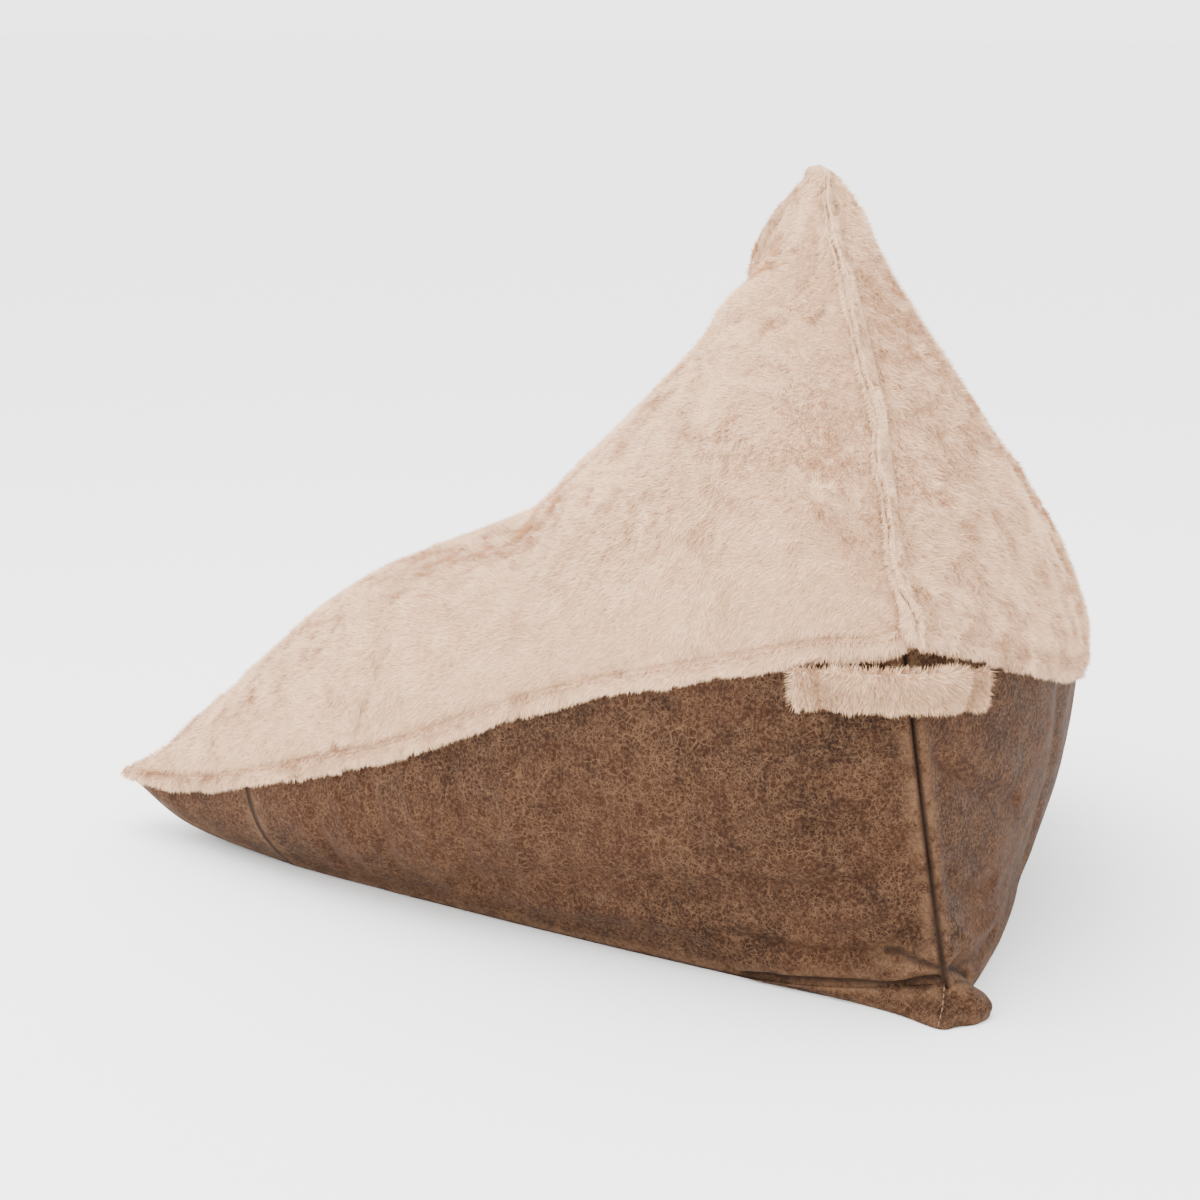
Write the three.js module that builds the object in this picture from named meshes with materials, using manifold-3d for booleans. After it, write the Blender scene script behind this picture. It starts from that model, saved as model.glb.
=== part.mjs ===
// A pyramid-shaped bean bag chair: a plush cover over the seat and the backrest, leather round the lower
// body, and inside them a liner bag full of beads. Millimetres, +Z up. The origin is on the floor under
// the middle of the bag, the toe points to -Y, and the sitter's left is +X.
import * as THREE from "three";
import { mergeVertices } from "three/addons/utils/BufferGeometryUtils.js";
import Module from "manifold-3d";

const wasm = await Module();
wasm.setup();

// ---- driving dimensions -------------------------------------------------------------------------------

const HALF_WIDTH = 460; // centre plane to the widest point of a side
const HALF_LENGTH = 650; // origin to the toe, and to the back of the bulging back panel
const HEIGHT = 935; // floor to the apex
const TIP_RADIUS = 9; // of the blunt toe and apex, where the layers of the cover meet

const LEATHER = 2.5; // thickness of a leather panel
const PILE = 4; // how far the plush stands above the leather, pressed flat
const SEAM_GAP = 0.25; // each panel stops this far short of its seam line
const LAYER_GAP = 1.6; // between the cover and the liner, and between the liner and the beads
const LINER = 0.8; // thickness of the liner cloth

const FLANGE_HEIGHT = 20; // raw-edge seam standing proud of the two rear edges
const FLANGE_THICKNESS = 9;
const HEM_DROP = 15; // width of the raw edge that hangs over the leather
const HEM_THICKNESS = 6;
const TRIM_GAP = 0.4; // between a flange or hem and the panel that it is sewn to

const HANDLE_LENGTH = 250; // measured along the strap
const HANDLE_WIDTH = 56;
const HANDLE_TAB = 34; // length of each end that is sewn flat to the leather
const HANDLE_RISE = 27; // room for fingers behind the middle of the strap
const HANDLE_SEAT = 3; // from the line between the strap's ends and the seam out to its inner face
const HANDLE_PLUSH = 5; // thickness of the plush wrapped round the webbing
const WEBBING_THICKNESS = 2;
const WEBBING_GAP = 0.3; // all round the webbing inside its sleeve
const WEBBING_WIDTH = 38;
const HANDLE_DROP = 74; // from the rear corner of the hem to the middle of the strap
const HANDLE_SLOPE = 14; // how much lower its end on the back panel is

const ZIP_TAPE_WIDTH = 14;
const ZIP_TAPE = 0.7;
const ZIP_SLOT = 12; // opening between the two edges that a zip joins
const COIL_WIDTH = 3;
const COIL_HEIGHT = 2;
const COIL_PARTING = 1.6; // between the two coils, for the neck of the slider
const SLIDER_PLATE = 1.2;
const SLIDER_LENGTH = 16;
const SLIDER_WIDTH = 9;
const ZIP_CLEARANCE = 0.4; // all round a slider
const ZIP_GAP = 0.3; // between a zip's other pieces
const STOP_LENGTH = 4;
const COVER_ZIP_LENGTH = 2 * Math.round(0.76 * HALF_WIDTH);
const COVER_ZIP_Y = Math.round(0.646 * HALF_LENGTH);
const LINER_ZIP_LENGTH = 320;
const LINER_ZIP_Y = Math.round(0.385 * HALF_LENGTH);
const LINER_FLOOR = 8; // height of the liner's underside, over the cover's zip
const BEADS_FLOOR = 13; // height of the underside of the beads, over the liner's zip
const LINER_TOP = HEIGHT - 40; // the limp tip of the cover above it is empty

const EAR_LENGTH = 62; // the empty corner of the cover that folds out over the floor
const EAR_THICKNESS = 16;
// Outline of the left ear in shares of EAR_LENGTH from the corner of the base, before the bag is cut out.
const EAR_OUTLINE = [
  [0, -1.5],
  [0.55, -0.15],
  [0.2, 0.55],
  [-0.6, 1.2],
  [-1.5, 0.5],
  [-0.6, -0.6],
];

// ---- the shape of the bag -------------------------------------------------------------------------------

// Points of the bag are shares of HALF_WIDTH, HALF_LENGTH and HEIGHT. Its upper cover is a loft of ribs.
// Each rib runs from the centre line of the front panel out to the edge on either side. Stations 0 to 9
// follow the hem from the toe to the rear corner, and 9 to 15 climb the rear seam to the apex.
const CORNER = 9;
const APEX = 15;
const point = (x, y, z) => new THREE.Vector3(x * HALF_WIDTH, y * HALF_LENGTH, z * HEIGHT);
const tip = (y, z, dx, dy, dz) => point(0, y, z).add(new THREE.Vector3(dx, dy, dz).multiplyScalar(TIP_RADIUS));

const CENTRE = [
  tip(-0.985, 0.091, 0, 0, 1),
  point(0, -0.91, 0.13),
  point(0, -0.755, 0.225),
  point(0, -0.585, 0.33),
  point(0, -0.41, 0.419),
  point(0, -0.225, 0.473),
  point(0, -0.105, 0.51),
  point(0, 0.015, 0.59),
  point(0, 0.095, 0.65),
  point(0, 0.165, 0.703),
  point(0, 0.235, 0.756),
  point(0, 0.285, 0.8),
  point(0, 0.325, 0.84),
  point(0, 0.385, 0.885),
  point(0, 0.43, 0.945),
  tip(0.465, 0.99, 0, -1, 0.5),
];
const LEFT_EDGE = [
  tip(-0.985, 0.091, 1, 0, 0),
  point(0.1, -0.86, 0.103),
  point(0.26, -0.7, 0.137),
  point(0.41, -0.515, 0.187),
  point(0.57, -0.29, 0.248),
  point(0.72, -0.045, 0.332),
  point(0.835, 0.177, 0.393),
  point(0.925, 0.4, 0.44),
  point(0.97, 0.57, 0.473),
  point(0.98, 0.708, 0.495),
  point(0.81, 0.68, 0.585),
  point(0.61, 0.645, 0.67),
  point(0.41, 0.597, 0.77),
  point(0.22, 0.535, 0.875),
  point(0.1, 0.495, 0.945),
  tip(0.465, 0.99, 1, 0.6, 0),
];
const TOE_POLE = tip(-0.985, 0.091, 0, -1, 0);
const APEX_POLE = tip(0.465, 0.99, 0, 0, 1);
const RIGHT_SAG = 0.05; // of HEIGHT: how much lower the hem's right rear corner lies
// The right edge mirrors the left one up to the rear corner. Above it the limp tip is turned, so that the
// right rear seam comes forward.
const RIGHT_SEAM = [
  point(-0.97, 0.69, 0.445),
  point(-0.82, 0.6, 0.55),
  point(-0.62, 0.45, 0.665),
  point(-0.4, 0.325, 0.78),
  point(-0.235, 0.34, 0.868),
  point(-0.11, 0.405, 0.945),
  tip(0.465, 0.99, -1, -0.6, 0),
];
const mirrored = (p) => new THREE.Vector3(-p.x, p.y, p.z);
const sagged = (p, i) => mirrored(p).setZ(p.z - RIGHT_SAG * HEIGHT * (i / CORNER) ** 2);
const RIGHT_EDGE = [...LEFT_EDGE.slice(0, CORNER).map(sagged), ...RIGHT_SEAM];
const LEFT_RIM = [
  tip(-0.985, 0.091, 0.5, 0, -1),
  point(0.09, -0.84, 0.03),
  point(0.19, -0.625, 0.004),
  point(0.295, -0.445, 0),
  point(0.425, -0.23, 0),
  point(0.535, -0.04, 0),
  point(0.65, 0.17, 0),
  point(0.76, 0.385, 0),
  point(0.86, 0.59, 0),
  point(0.93, 0.81, 0),
];
const RIGHT_RIM = LEFT_RIM.map(mirrored);
// The middle of the back panel at stations 9 to 15: how far it stands behind the line between the seams.
const BACK_BULGE = [0.3, 0.325, 0.31, 0.25, 0.15, 0.08, 0.015];
const BACK_HEM_DIP = 0.115; // of HEIGHT, at the middle of the back hem
const BACK_FOOT_BULGE = 0.075; // of HALF_LENGTH, at the middle of the back of the base
const BACK_BELLY = 0.02; // of HALF_LENGTH, between the back hem and the floor
const SIDE_BELLY = 0.11; // of HALF_WIDTH, halfway along a side
const CORNER_BELLY = 0.03; // of HALF_WIDTH, at the rear seam

const STEP = 0.75; // of a station, between rows of the mesh
const ACROSS_FRONT = 10; // faces across each patch
const ACROSS_BACK = 8;
const DOWN_SIDE = 4;
const ACROSS_BASE = ACROSS_BACK; // they share the foot of the back panel
const TOE_SEAM = 2.25; // station at which the base panel, which wraps up round the toe, meets the sides

/** The point at a fractional index along a smooth curve through the given points. */
function along(points, index) {
  const curve = new THREE.CatmullRomCurve3(points, false, "catmullrom", 0.5);
  return curve.getPoint(THREE.MathUtils.clamp(index / (points.length - 1), 0, 1));
}

/** A number at a fractional index along a list, smoothed in the same way. */
function valueAlong(values, index) {
  return along(values.map((v, i) => new THREE.Vector3(v, i, 0)), index).x;
}

/** The front panel, s running from -1 at the right edge to 1 at the left one. Each half is a quarter of an
 *  ellipse, which leaves the centre line level and meets the edge square to it. */
function frontPanel(station, s) {
  const centre = along(CENTRE, station);
  const edge = along(s > 0 ? LEFT_EDGE : RIGHT_EDGE, station);
  const run = along(CENTRE, station + 0.1).sub(along(CENTRE, station - 0.1));
  const normal = new THREE.Vector3(0, -run.z, run.y).normalize();
  const chord = edge.clone().sub(centre);
  const depth = normal.clone().multiplyScalar(chord.dot(normal));
  const angle = (Math.abs(s) * Math.PI) / 2;
  const arch = centre
    .clone()
    .addScaledVector(chord.clone().sub(depth), Math.sin(angle))
    .addScaledVector(depth, 1 - Math.cos(angle));
  const flat = centre.clone().addScaledVector(chord, Math.abs(s));
  const limp = THREE.MathUtils.smoothstep(station, CORNER + 2, APEX - 1);
  return arch.lerp(flat, 0.75 * limp);
}

/** The back hem, s running from the right corner to the left one. */
function backHem(s) {
  return backPanel(CORNER, s);
}

/** The back panel above the hem, which bulges behind the line between the two rear seams. */
function backPanel(station, s) {
  const p = along(RIGHT_EDGE, station).lerp(along(LEFT_EDGE, station), (s + 1) / 2);
  const fade = 1 - THREE.MathUtils.smoothstep(station, CORNER, APEX - 1);
  p.y += valueAlong(BACK_BULGE, station - CORNER) * HALF_LENGTH * (1 - s * s) ** 0.85;
  p.z -= BACK_HEM_DIP * HEIGHT * (1 - s * s) ** 1.3 * fade;
  return p;
}

/** The foot of the back panel on the floor. */
function backFoot(s) {
  const p = RIGHT_RIM[CORNER].clone().lerp(LEFT_RIM[CORNER], (s + 1) / 2);
  p.y += BACK_FOOT_BULGE * HALF_LENGTH * (1 - s * s);
  return p;
}

/** The back panel below the hem, t running from the hem down to the floor. */
function lowerBack(t, s) {
  const belly = Math.sin(Math.PI * t);
  const p = backHem(s).lerp(backFoot(s), t);
  p.y += BACK_BELLY * HALF_LENGTH * belly * (1 - s * s);
  p.x += s * Math.abs(s) * CORNER_BELLY * HALF_WIDTH * belly;
  return p;
}

/** A side panel below the hem, side 1 on the left and -1 on the right. */
function sidePanel(side, station, t) {
  const hem = along(side > 0 ? LEFT_EDGE : RIGHT_EDGE, station);
  const p = hem.lerp(along(side > 0 ? LEFT_RIM : RIGHT_RIM, station), t);
  const swell = Math.sin((Math.PI * station) / CORNER) * SIDE_BELLY + (station / CORNER) ** 4 * CORNER_BELLY;
  p.x += side * swell * HALF_WIDTH * Math.sin(Math.PI * t);
  return p;
}

/** The base, s running from the right rim to the left one. */
function base(station, s) {
  const p = along(RIGHT_RIM, station).lerp(along(LEFT_RIM, station), (s + 1) / 2);
  p.y += BACK_FOOT_BULGE * HALF_LENGTH * (1 - s * s) * THREE.MathUtils.smoothstep(station, 6, CORNER);
  return p;
}

// ---- the bag as one closed mesh, each face belonging to a panel ----------------------------------------

const steps = (from, to, count) => Array.from({ length: count + 1 }, (_, i) => from + ((to - from) * i) / count);

/** Builds the whole outer surface. Returns its vertices, its triangles and the panel of each triangle. */
function bagSurface() {
  const vertices = [];
  const index = new Map();
  const faces = [];
  const panels = [];
  const vertex = (p) => {
    p.z = Math.max(p.z, 0);
    const key = p.toArray().map((c) => Math.round(c * 100)).join();
    if (!index.has(key)) index.set(key, vertices.push(p) - 1);
    return index.get(key);
  };
  const face = (panel, ...corners) => {
    if (new Set(corners).size < 3) return;
    faces.push(corners);
    panels.push(panel);
  };
  const patch = (panelAt, surface, us, vs, flip) => {
    const grid = us.map((u) => vs.map((v) => vertex(surface(u, v))));
    for (let i = 0; i + 1 < us.length; i++)
      for (let j = 0; j + 1 < vs.length; j++) {
        const [a, b, c, d] = [grid[i][j], grid[i + 1][j], grid[i + 1][j + 1], grid[i][j + 1]];
        const panel = panelAt(us[i]);
        if (flip) {
          face(panel, a, c, b);
          face(panel, a, d, c);
        } else {
          face(panel, a, b, c);
          face(panel, a, c, d);
        }
      }
  };
  const cap = (panel, pole, ring, flip) => {
    const centre = vertex(pole);
    for (let i = 0; i + 1 < ring.length; i++) {
      const [a, b] = [vertex(ring[i]), vertex(ring[i + 1])];
      face(panel, centre, flip ? b : a, flip ? a : b);
    }
  };
  const lower = steps(0, CORNER, CORNER / STEP);
  const upper = steps(CORNER, APEX, (APEX - CORNER) / STEP);
  const across = (count) => steps(-1, 1, count);
  const sideOrBase = (side) => (station) => (station < TOE_SEAM ? "base" : side);
  patch(() => "front", frontPanel, [...lower, ...upper.slice(1)], across(ACROSS_FRONT), true);
  patch(() => "upper_back", backPanel, upper, across(ACROSS_BACK), false);
  patch(() => "lower_back", lowerBack, steps(0, 1, DOWN_SIDE), across(ACROSS_BACK), true);
  patch(sideOrBase("left"), (u, t) => sidePanel(1, u, t), lower, steps(0, 1, DOWN_SIDE), true);
  patch(sideOrBase("right"), (u, t) => sidePanel(-1, u, t), lower, steps(0, 1, DOWN_SIDE), false);
  patch(() => "base", base, lower, across(ACROSS_BASE), false);
  const down = steps(0, 1, DOWN_SIDE);
  cap("front", TOE_POLE, across(ACROSS_FRONT).map((s) => frontPanel(0, s)), true);
  cap("base", TOE_POLE, down.map((t) => sidePanel(1, 0, t)), true);
  cap("base", TOE_POLE, down.map((t) => sidePanel(-1, 0, t)), false);
  cap("base", TOE_POLE, across(ACROSS_BASE).map((s) => base(0, s)), false);
  cap("front", APEX_POLE, across(ACROSS_FRONT).map((s) => frontPanel(APEX, s)), false);
  cap("upper_back", APEX_POLE, across(ACROSS_BACK).map((s) => backPanel(APEX, s)), true);
  return { vertices, faces, panels };
}

const BAG = bagSurface();
const NONE = new THREE.Vector3();

/** Unit normal of a triangle given by three vertex numbers. */
function faceNormal([a, b, c]) {
  const [p, q, r] = [a, b, c].map((i) => BAG.vertices[i]);
  return q.clone().sub(p).cross(r.clone().sub(p)).normalize();
}

/** For each vertex, the vector by which it moves when every face round it moves out by one millimetre. */
function offsetVectors() {
  const normals = BAG.vertices.map(() => []);
  BAG.faces.forEach((f) => f.forEach((i) => normals[i].push(faceNormal(f))));
  return normals.map((list) => {
    const mean = list.reduce((sum, n) => sum.add(n), new THREE.Vector3()).normalize();
    const least = Math.min(...list.map((n) => n.dot(mean)));
    return mean.divideScalar(Math.max(least, 0.6));
  });
}
const OFFSET = offsetVectors();

/** The number of the bag's vertex at a point. */
function vertexAt(p) {
  const distances = BAG.vertices.map((v) => v.distanceToSquared(p));
  return distances.indexOf(Math.min(...distances));
}

/** Mean normal at a vertex of the faces of one panel. */
function panelNormal(vertex, panel) {
  const sum = new THREE.Vector3();
  BAG.faces.forEach((f, i) => {
    if (BAG.panels[i] === panel && f.includes(vertex)) sum.add(faceNormal(f));
  });
  return sum.normalize();
}

// ---- solids ----------------------------------------------------------------------------------------------

/** A manifold solid from points and triangles of vertex numbers. */
function solid(points, triangles) {
  return new wasm.Manifold(
    new wasm.Mesh({
      numProp: 3,
      vertProperties: new Float32Array(points.flatMap((p) => p.toArray())),
      triVerts: new Uint32Array(triangles.flat()),
    }),
  );
}

/** A manifold solid from a closed three.js geometry. */
function solidOf(geometry) {
  const bare = geometry.clone();
  bare.deleteAttribute("normal");
  bare.deleteAttribute("uv");
  const merged = mergeVertices(bare, 1e-4);
  return new wasm.Manifold(
    new wasm.Mesh({
      numProp: 3,
      vertProperties: merged.attributes.position.array,
      triVerts: new Uint32Array(merged.index.array),
    }),
  );
}

/** A solid box between two corners. */
function box(low, high) {
  const size = high.clone().sub(low);
  const centre = low.clone().add(high).multiplyScalar(0.5);
  return solidOf(new THREE.BoxGeometry(size.x, size.y, size.z).translate(centre.x, centre.y, centre.z));
}
const vec = (x, y, z) => new THREE.Vector3(x, y, z);

/** The whole bag grown by a distance, or shrunk by it if negative. */
function bagSolid(distance) {
  return solid(BAG.vertices.map((p, i) => p.clone().addScaledVector(OFFSET[i], distance)), BAG.faces);
}

/** The bag shrunk by a depth, between a flat floor and a flat top. */
function filling(depth, floor, top) {
  return bagSolid(-depth).trimByPlane([0, 0, 1], floor).trimByPlane([0, 0, -1], -top);
}

/** A solid kept a trim's gap away from others: each is cut out of it, where it is and moved along every axis. */
function clearOf(made, ...others) {
  const moves = [-TRIM_GAP, TRIM_GAP].flatMap((d) => [[0, 0, 0], [d, 0, 0], [0, d, 0], [0, 0, d]]);
  const cut = others.reduce((left, other) => moves.reduce((m, move) => m.subtract(other.translate(move)), left), made);
  return cut.decompose().sort((a, b) => b.volume() - a.volume())[0];
}

/** One panel of the cover as a closed sheet between two offsets from the bag's surface. Its edge stops
 *  SEAM_GAP short of the seam line, so that neighbouring panels don't touch. */
function panelSheet(panel, outer, inner) {
  const faces = BAG.faces.filter((_, i) => BAG.panels[i] === panel);
  const edges = new Set(faces.flatMap(([a, b, c]) => [`${a} ${b}`, `${b} ${c}`, `${c} ${a}`]));
  const rim = [...edges].map((e) => e.split(" ").map(Number)).filter(([a, b]) => !edges.has(`${b} ${a}`));
  const onRim = new Set(rim.flat());
  const used = [...new Set(faces.flat())];
  const place = new Map(used.map((v, i) => [v, i]));
  const inset = (v) => {
    if (!onRim.has(v)) return NONE;
    const inward = new THREE.Vector3();
    for (const f of faces.filter((corners) => corners.includes(v))) {
      const centre = f.reduce((sum, i) => sum.add(BAG.vertices[i]), new THREE.Vector3()).divideScalar(3);
      inward.add(centre.sub(BAG.vertices[v]).normalize());
    }
    return inward.normalize().multiplyScalar(SEAM_GAP);
  };
  const layer = (distance) => used.map((v) => BAG.vertices[v].clone().add(inset(v)).addScaledVector(OFFSET[v], distance));
  const count = used.length;
  const top = faces.map((f) => f.map((v) => place.get(v)));
  const bottom = top.map(([a, b, c]) => [a + count, c + count, b + count]);
  // Both panels at a seam split its twisted wall along the same diagonal.
  const walls = rim.flatMap(([v, w]) => {
    const [a, b] = [place.get(v), place.get(w)];
    const [c, d] = [a + count, b + count];
    return v < w ? [[b, a, d], [a, c, d]] : [[b, a, c], [b, c, d]];
  });
  return solid([...layer(outer), ...layer(inner)], [...top, ...bottom, ...walls]);
}

/** A strip swept along a row of points. Each has an outward normal, and the section is a list of
 *  [sideways, outward] distances from the point, where sideways is the direction of travel x outward. */
function strip(points, normals, section) {
  const sides = section.length;
  const rings = points.flatMap((p, i) => {
    const travel = points[Math.min(i + 1, points.length - 1)].clone().sub(points[Math.max(i - 1, 0)]);
    const sideways = travel.cross(normals[i]).normalize();
    return section.map(([u, v]) => p.clone().addScaledVector(sideways, u).addScaledVector(normals[i], v));
  });
  const triangles = [];
  for (let i = 0; i + 1 < points.length; i++)
    for (let j = 0; j < sides; j++) {
      const [a, b] = [i * sides + j, i * sides + ((j + 1) % sides)];
      triangles.push([a, b, b + sides], [a, b + sides, a + sides]);
    }
  const last = (points.length - 1) * sides;
  for (let j = 1; j + 1 < sides; j++) triangles.push([0, j + 1, j], [last, last + j, last + j + 1]);
  const made = solid(rings, triangles);
  return made.volume() > 0 ? made : solid(rings, triangles.map(([a, b, c]) => [a, c, b]));
}
const rectangle = (u0, v0, u1, v1) => [
  [u0, v0],
  [u1, v0],
  [u1, v1],
  [u0, v1],
];

// ---- parts of the cover ----------------------------------------------------------------------------------

/** Raw-edge flange that stands on a rear seam, from just above the hem to the apex. */
function rearFlange(edge) {
  const stations = steps(CORNER, APEX, (APEX - CORNER) / STEP);
  const seam = stations.map((station) => vertexAt(along(edge, station)));
  const points = seam.map((v) => BAG.vertices[v].clone());
  points[0].lerp(points[1], 0.12);
  points[points.length - 1].lerp(points[points.length - 2], 0.25);
  const normals = seam.map((v) => OFFSET[v].clone().normalize());
  const half = FLANGE_THICKNESS / 2;
  const blade = strip(points, normals, rectangle(-half, PILE / 2, half, PILE + FLANGE_HEIGHT));
  return blade.subtract(bagSolid(PILE + TRIM_GAP));
}

/** Raw edge of the plush that hangs over the leather of one panel, along a list of points of the hem. */
function hemEdge(line, panelOf, ends) {
  const seam = line.map(vertexAt);
  const points = seam.map((v) => BAG.vertices[v].clone());
  const normals = seam.map((v, i) => panelNormal(v, panelOf(i)));
  points[0].lerp(points[1], ends[0]);
  points[points.length - 1].lerp(points[points.length - 2], ends[1]);
  const down = points[1].clone().sub(points[0]).cross(normals[0]).z < 0 ? 1 : -1;
  const low = down * (SEAM_GAP + TRIM_GAP);
  const edge = strip(points, normals, rectangle(low, 0, down * HEM_DROP, TRIM_GAP + HEM_THICKNESS));
  return edge.subtract(bagSolid(TRIM_GAP));
}
const hemStations = steps(0, CORNER, CORNER / STEP);
const sideHem = (edge, side) =>
  hemEdge(
    hemStations.map((station) => along(edge, station)),
    (i) => (hemStations[i] < TOE_SEAM ? "base" : side),
    [0.4, 0.1],
  );
const backHemEdge = () => hemEdge(steps(-1, 1, ACROSS_BACK).map(backHem), () => "lower_back", [0.08, 0.08]);

/** The empty corner of the cover beyond a rear corner of the base, folded flat on the floor. */
function ear(side) {
  const corner = LEFT_RIM[CORNER];
  const outline = EAR_OUTLINE.map(
    ([x, y]) => new THREE.Vector2(side * (corner.x + x * EAR_LENGTH), corner.y + y * EAR_LENGTH),
  );
  const slab = new THREE.ExtrudeGeometry(new THREE.Shape(outline), { depth: EAR_THICKNESS, bevelEnabled: false });
  return solidOf(slab).subtract(bagSolid(TRIM_GAP));
}

// ---- the carry handle ------------------------------------------------------------------------------------

const HANDLE_HEIGHT = LEFT_EDGE[CORNER].z - HANDLE_DROP;
const STRAP_THICKNESS = 2 * (HANDLE_PLUSH + WEBBING_GAP) + WEBBING_THICKNESS;

/** The point where a level line from (x, y), at the height z, first meets the bag on its way to the axis. */
function wallPoint(x, y, z) {
  const outside = vec(x, y, z);
  const ray = new THREE.Ray(outside, vec(0, 0, z).sub(outside).normalize());
  const hits = BAG.faces
    .map((f) => ray.intersectTriangle(...f.map((i) => BAG.vertices[i]), false, new THREE.Vector3()))
    .filter((hit) => hit !== null);
  return hits.sort((a, b) => a.distanceTo(outside) - b.distanceTo(outside))[0];
}

/** The strap's path over the left rear seam: its points on the inner face, and their outward normals. */
function handlePath() {
  const corner = LEFT_EDGE[CORNER];
  const seam = wallPoint(2 * corner.x, 2 * corner.y, HANDLE_HEIGHT);
  const half = HANDLE_LENGTH / 2;
  const side = wallPoint(2 * corner.x, 2 * (corner.y - half), HANDLE_HEIGHT);
  const back = wallPoint(2 * (corner.x - 0.8 * half), 2 * (corner.y + 0.6 * half), HANDLE_HEIGHT - HANDLE_SLOPE);
  const alongSide = side.sub(seam).normalize();
  const alongBack = back.sub(seam).normalize();
  const up = vec(0, 0, 1);
  const sideNormal = up.clone().cross(alongSide).normalize();
  const backNormal = alongBack.clone().cross(up).normalize();
  const cornerNormal = sideNormal.clone().add(backNormal).normalize();
  const shoulder = half - HANDLE_TAB;
  const points = [];
  const normals = [];
  const add = (direction, normal, distance, rise, turn) => {
    const outward = normal.clone().lerp(cornerNormal, turn).normalize();
    const height = HANDLE_SEAT + rise * HANDLE_RISE;
    points.push(seam.clone().addScaledVector(direction, distance).addScaledVector(outward, height));
    normals.push(outward);
  };
  add(alongSide, sideNormal, half, 0, 0);
  add(alongSide, sideNormal, shoulder, 0, 0);
  add(alongSide, sideNormal, 0.6 * shoulder, 0.72, 0.15);
  add(alongSide, sideNormal, 0.2 * shoulder, 1, 0.5);
  add(alongBack, backNormal, 0.2 * shoulder, 1, 0.5);
  add(alongBack, backNormal, 0.6 * shoulder, 0.72, 0.15);
  add(alongBack, backNormal, shoulder, 0, 0);
  add(alongBack, backNormal, half, 0, 0);
  return { points, normals };
}

/** The plush sleeve of the handle and the webbing that runs through it. */
function handle() {
  const { points, normals } = handlePath();
  const inner = HANDLE_PLUSH;
  const hole = WEBBING_WIDTH / 2 + WEBBING_GAP;
  const longer = points.map((p) => p.clone());
  const stretch = (end, next) => longer[end].add(points[end].clone().sub(points[next]).setLength(5));
  stretch(0, 1);
  stretch(points.length - 1, points.length - 2);
  const sleeve = strip(points, normals, rectangle(-HANDLE_WIDTH / 2, 0, HANDLE_WIDTH / 2, STRAP_THICKNESS));
  const bore = strip(longer, normals, rectangle(-hole, inner, hole, STRAP_THICKNESS - inner));
  const low = inner + WEBBING_GAP;
  const webbing = rectangle(-WEBBING_WIDTH / 2, low, WEBBING_WIDTH / 2, low + WEBBING_THICKNESS);
  return { sleeve: sleeve.subtract(bore).subtract(bagSolid(TRIM_GAP)), webbing: strip(points, normals, webbing) };
}

// ---- zips --------------------------------------------------------------------------------------------------

/** Half of a zip's slider travel: the slider's middle runs from plus to minus this along X. */
const sliderReach = (length) => (length - SLIDER_LENGTH) / 2;

/** A zip along X at a given Y. Its coils are centred on the height middle and its tapes lie on the cloth,
 *  whose inner face is at the height cloth. The slider is at the closed end, on the left. */
function zip(prefix, length, y, middle, cloth) {
  const coilEdge = COIL_PARTING / 2 + COIL_WIDTH;
  const tapeEdge = coilEdge + ZIP_GAP;
  const half = length / 2;
  const bar = (x0, x1, y0, y1, z0, z1) => box(vec(x0, y + Math.min(y0, y1), z0), vec(x1, y + Math.max(y0, y1), z1));
  const tape = (side) =>
    bar(-half - 8, half + 8, side * tapeEdge, side * (tapeEdge + ZIP_TAPE_WIDTH), cloth + ZIP_GAP, cloth + ZIP_GAP + ZIP_TAPE);
  const coil = (side) =>
    bar(-half, half, (side * COIL_PARTING) / 2, side * coilEdge, middle - COIL_HEIGHT / 2, middle + COIL_HEIGHT / 2);
  const stop = (x) =>
    bar(x, x + STOP_LENGTH, -coilEdge, coilEdge, middle - COIL_HEIGHT / 2 - 0.2, middle + COIL_HEIGHT / 2 + 0.2);
  const x = sliderReach(length);
  const near = COIL_HEIGHT / 2 + ZIP_CLEARANCE;
  const far = near + SLIDER_PLATE;
  const neck = COIL_PARTING / 2 - ZIP_CLEARANCE;
  const plate = (z0, z1) =>
    bar(x - SLIDER_LENGTH / 2, x + SLIDER_LENGTH / 2, -SLIDER_WIDTH / 2, SLIDER_WIDTH / 2, middle + z0, middle + z1);
  const slider = plate(near, far)
    .add(plate(-far, -near))
    .add(bar(x - SLIDER_LENGTH / 5, x + SLIDER_LENGTH / 5, -neck, neck, middle - far + 0.1, middle + far - 0.1));
  return [
    [`${prefix}_tape_front`, tape(-1), TAPE],
    [`${prefix}_tape_rear`, tape(1), TAPE],
    [`${prefix}_coil_front`, coil(-1), NYLON],
    [`${prefix}_coil_rear`, coil(1), NYLON],
    [`${prefix}_slider`, slider, METAL],
    [`${prefix}_left_stop`, stop(half + ZIP_GAP), METAL],
    [`${prefix}_right_stop`, stop(-half - ZIP_GAP - STOP_LENGTH), METAL],
  ];
}

/** The opening in a sheet of cloth that a zip closes. */
const zipSlot = (length, y) =>
  box(vec(-length / 2 - STOP_LENGTH - 2, y - ZIP_SLOT / 2, -1), vec(length / 2 + STOP_LENGTH + 2, y + ZIP_SLOT / 2, BEADS_FLOOR));

// ---- the assembly --------------------------------------------------------------------------------------------

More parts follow.
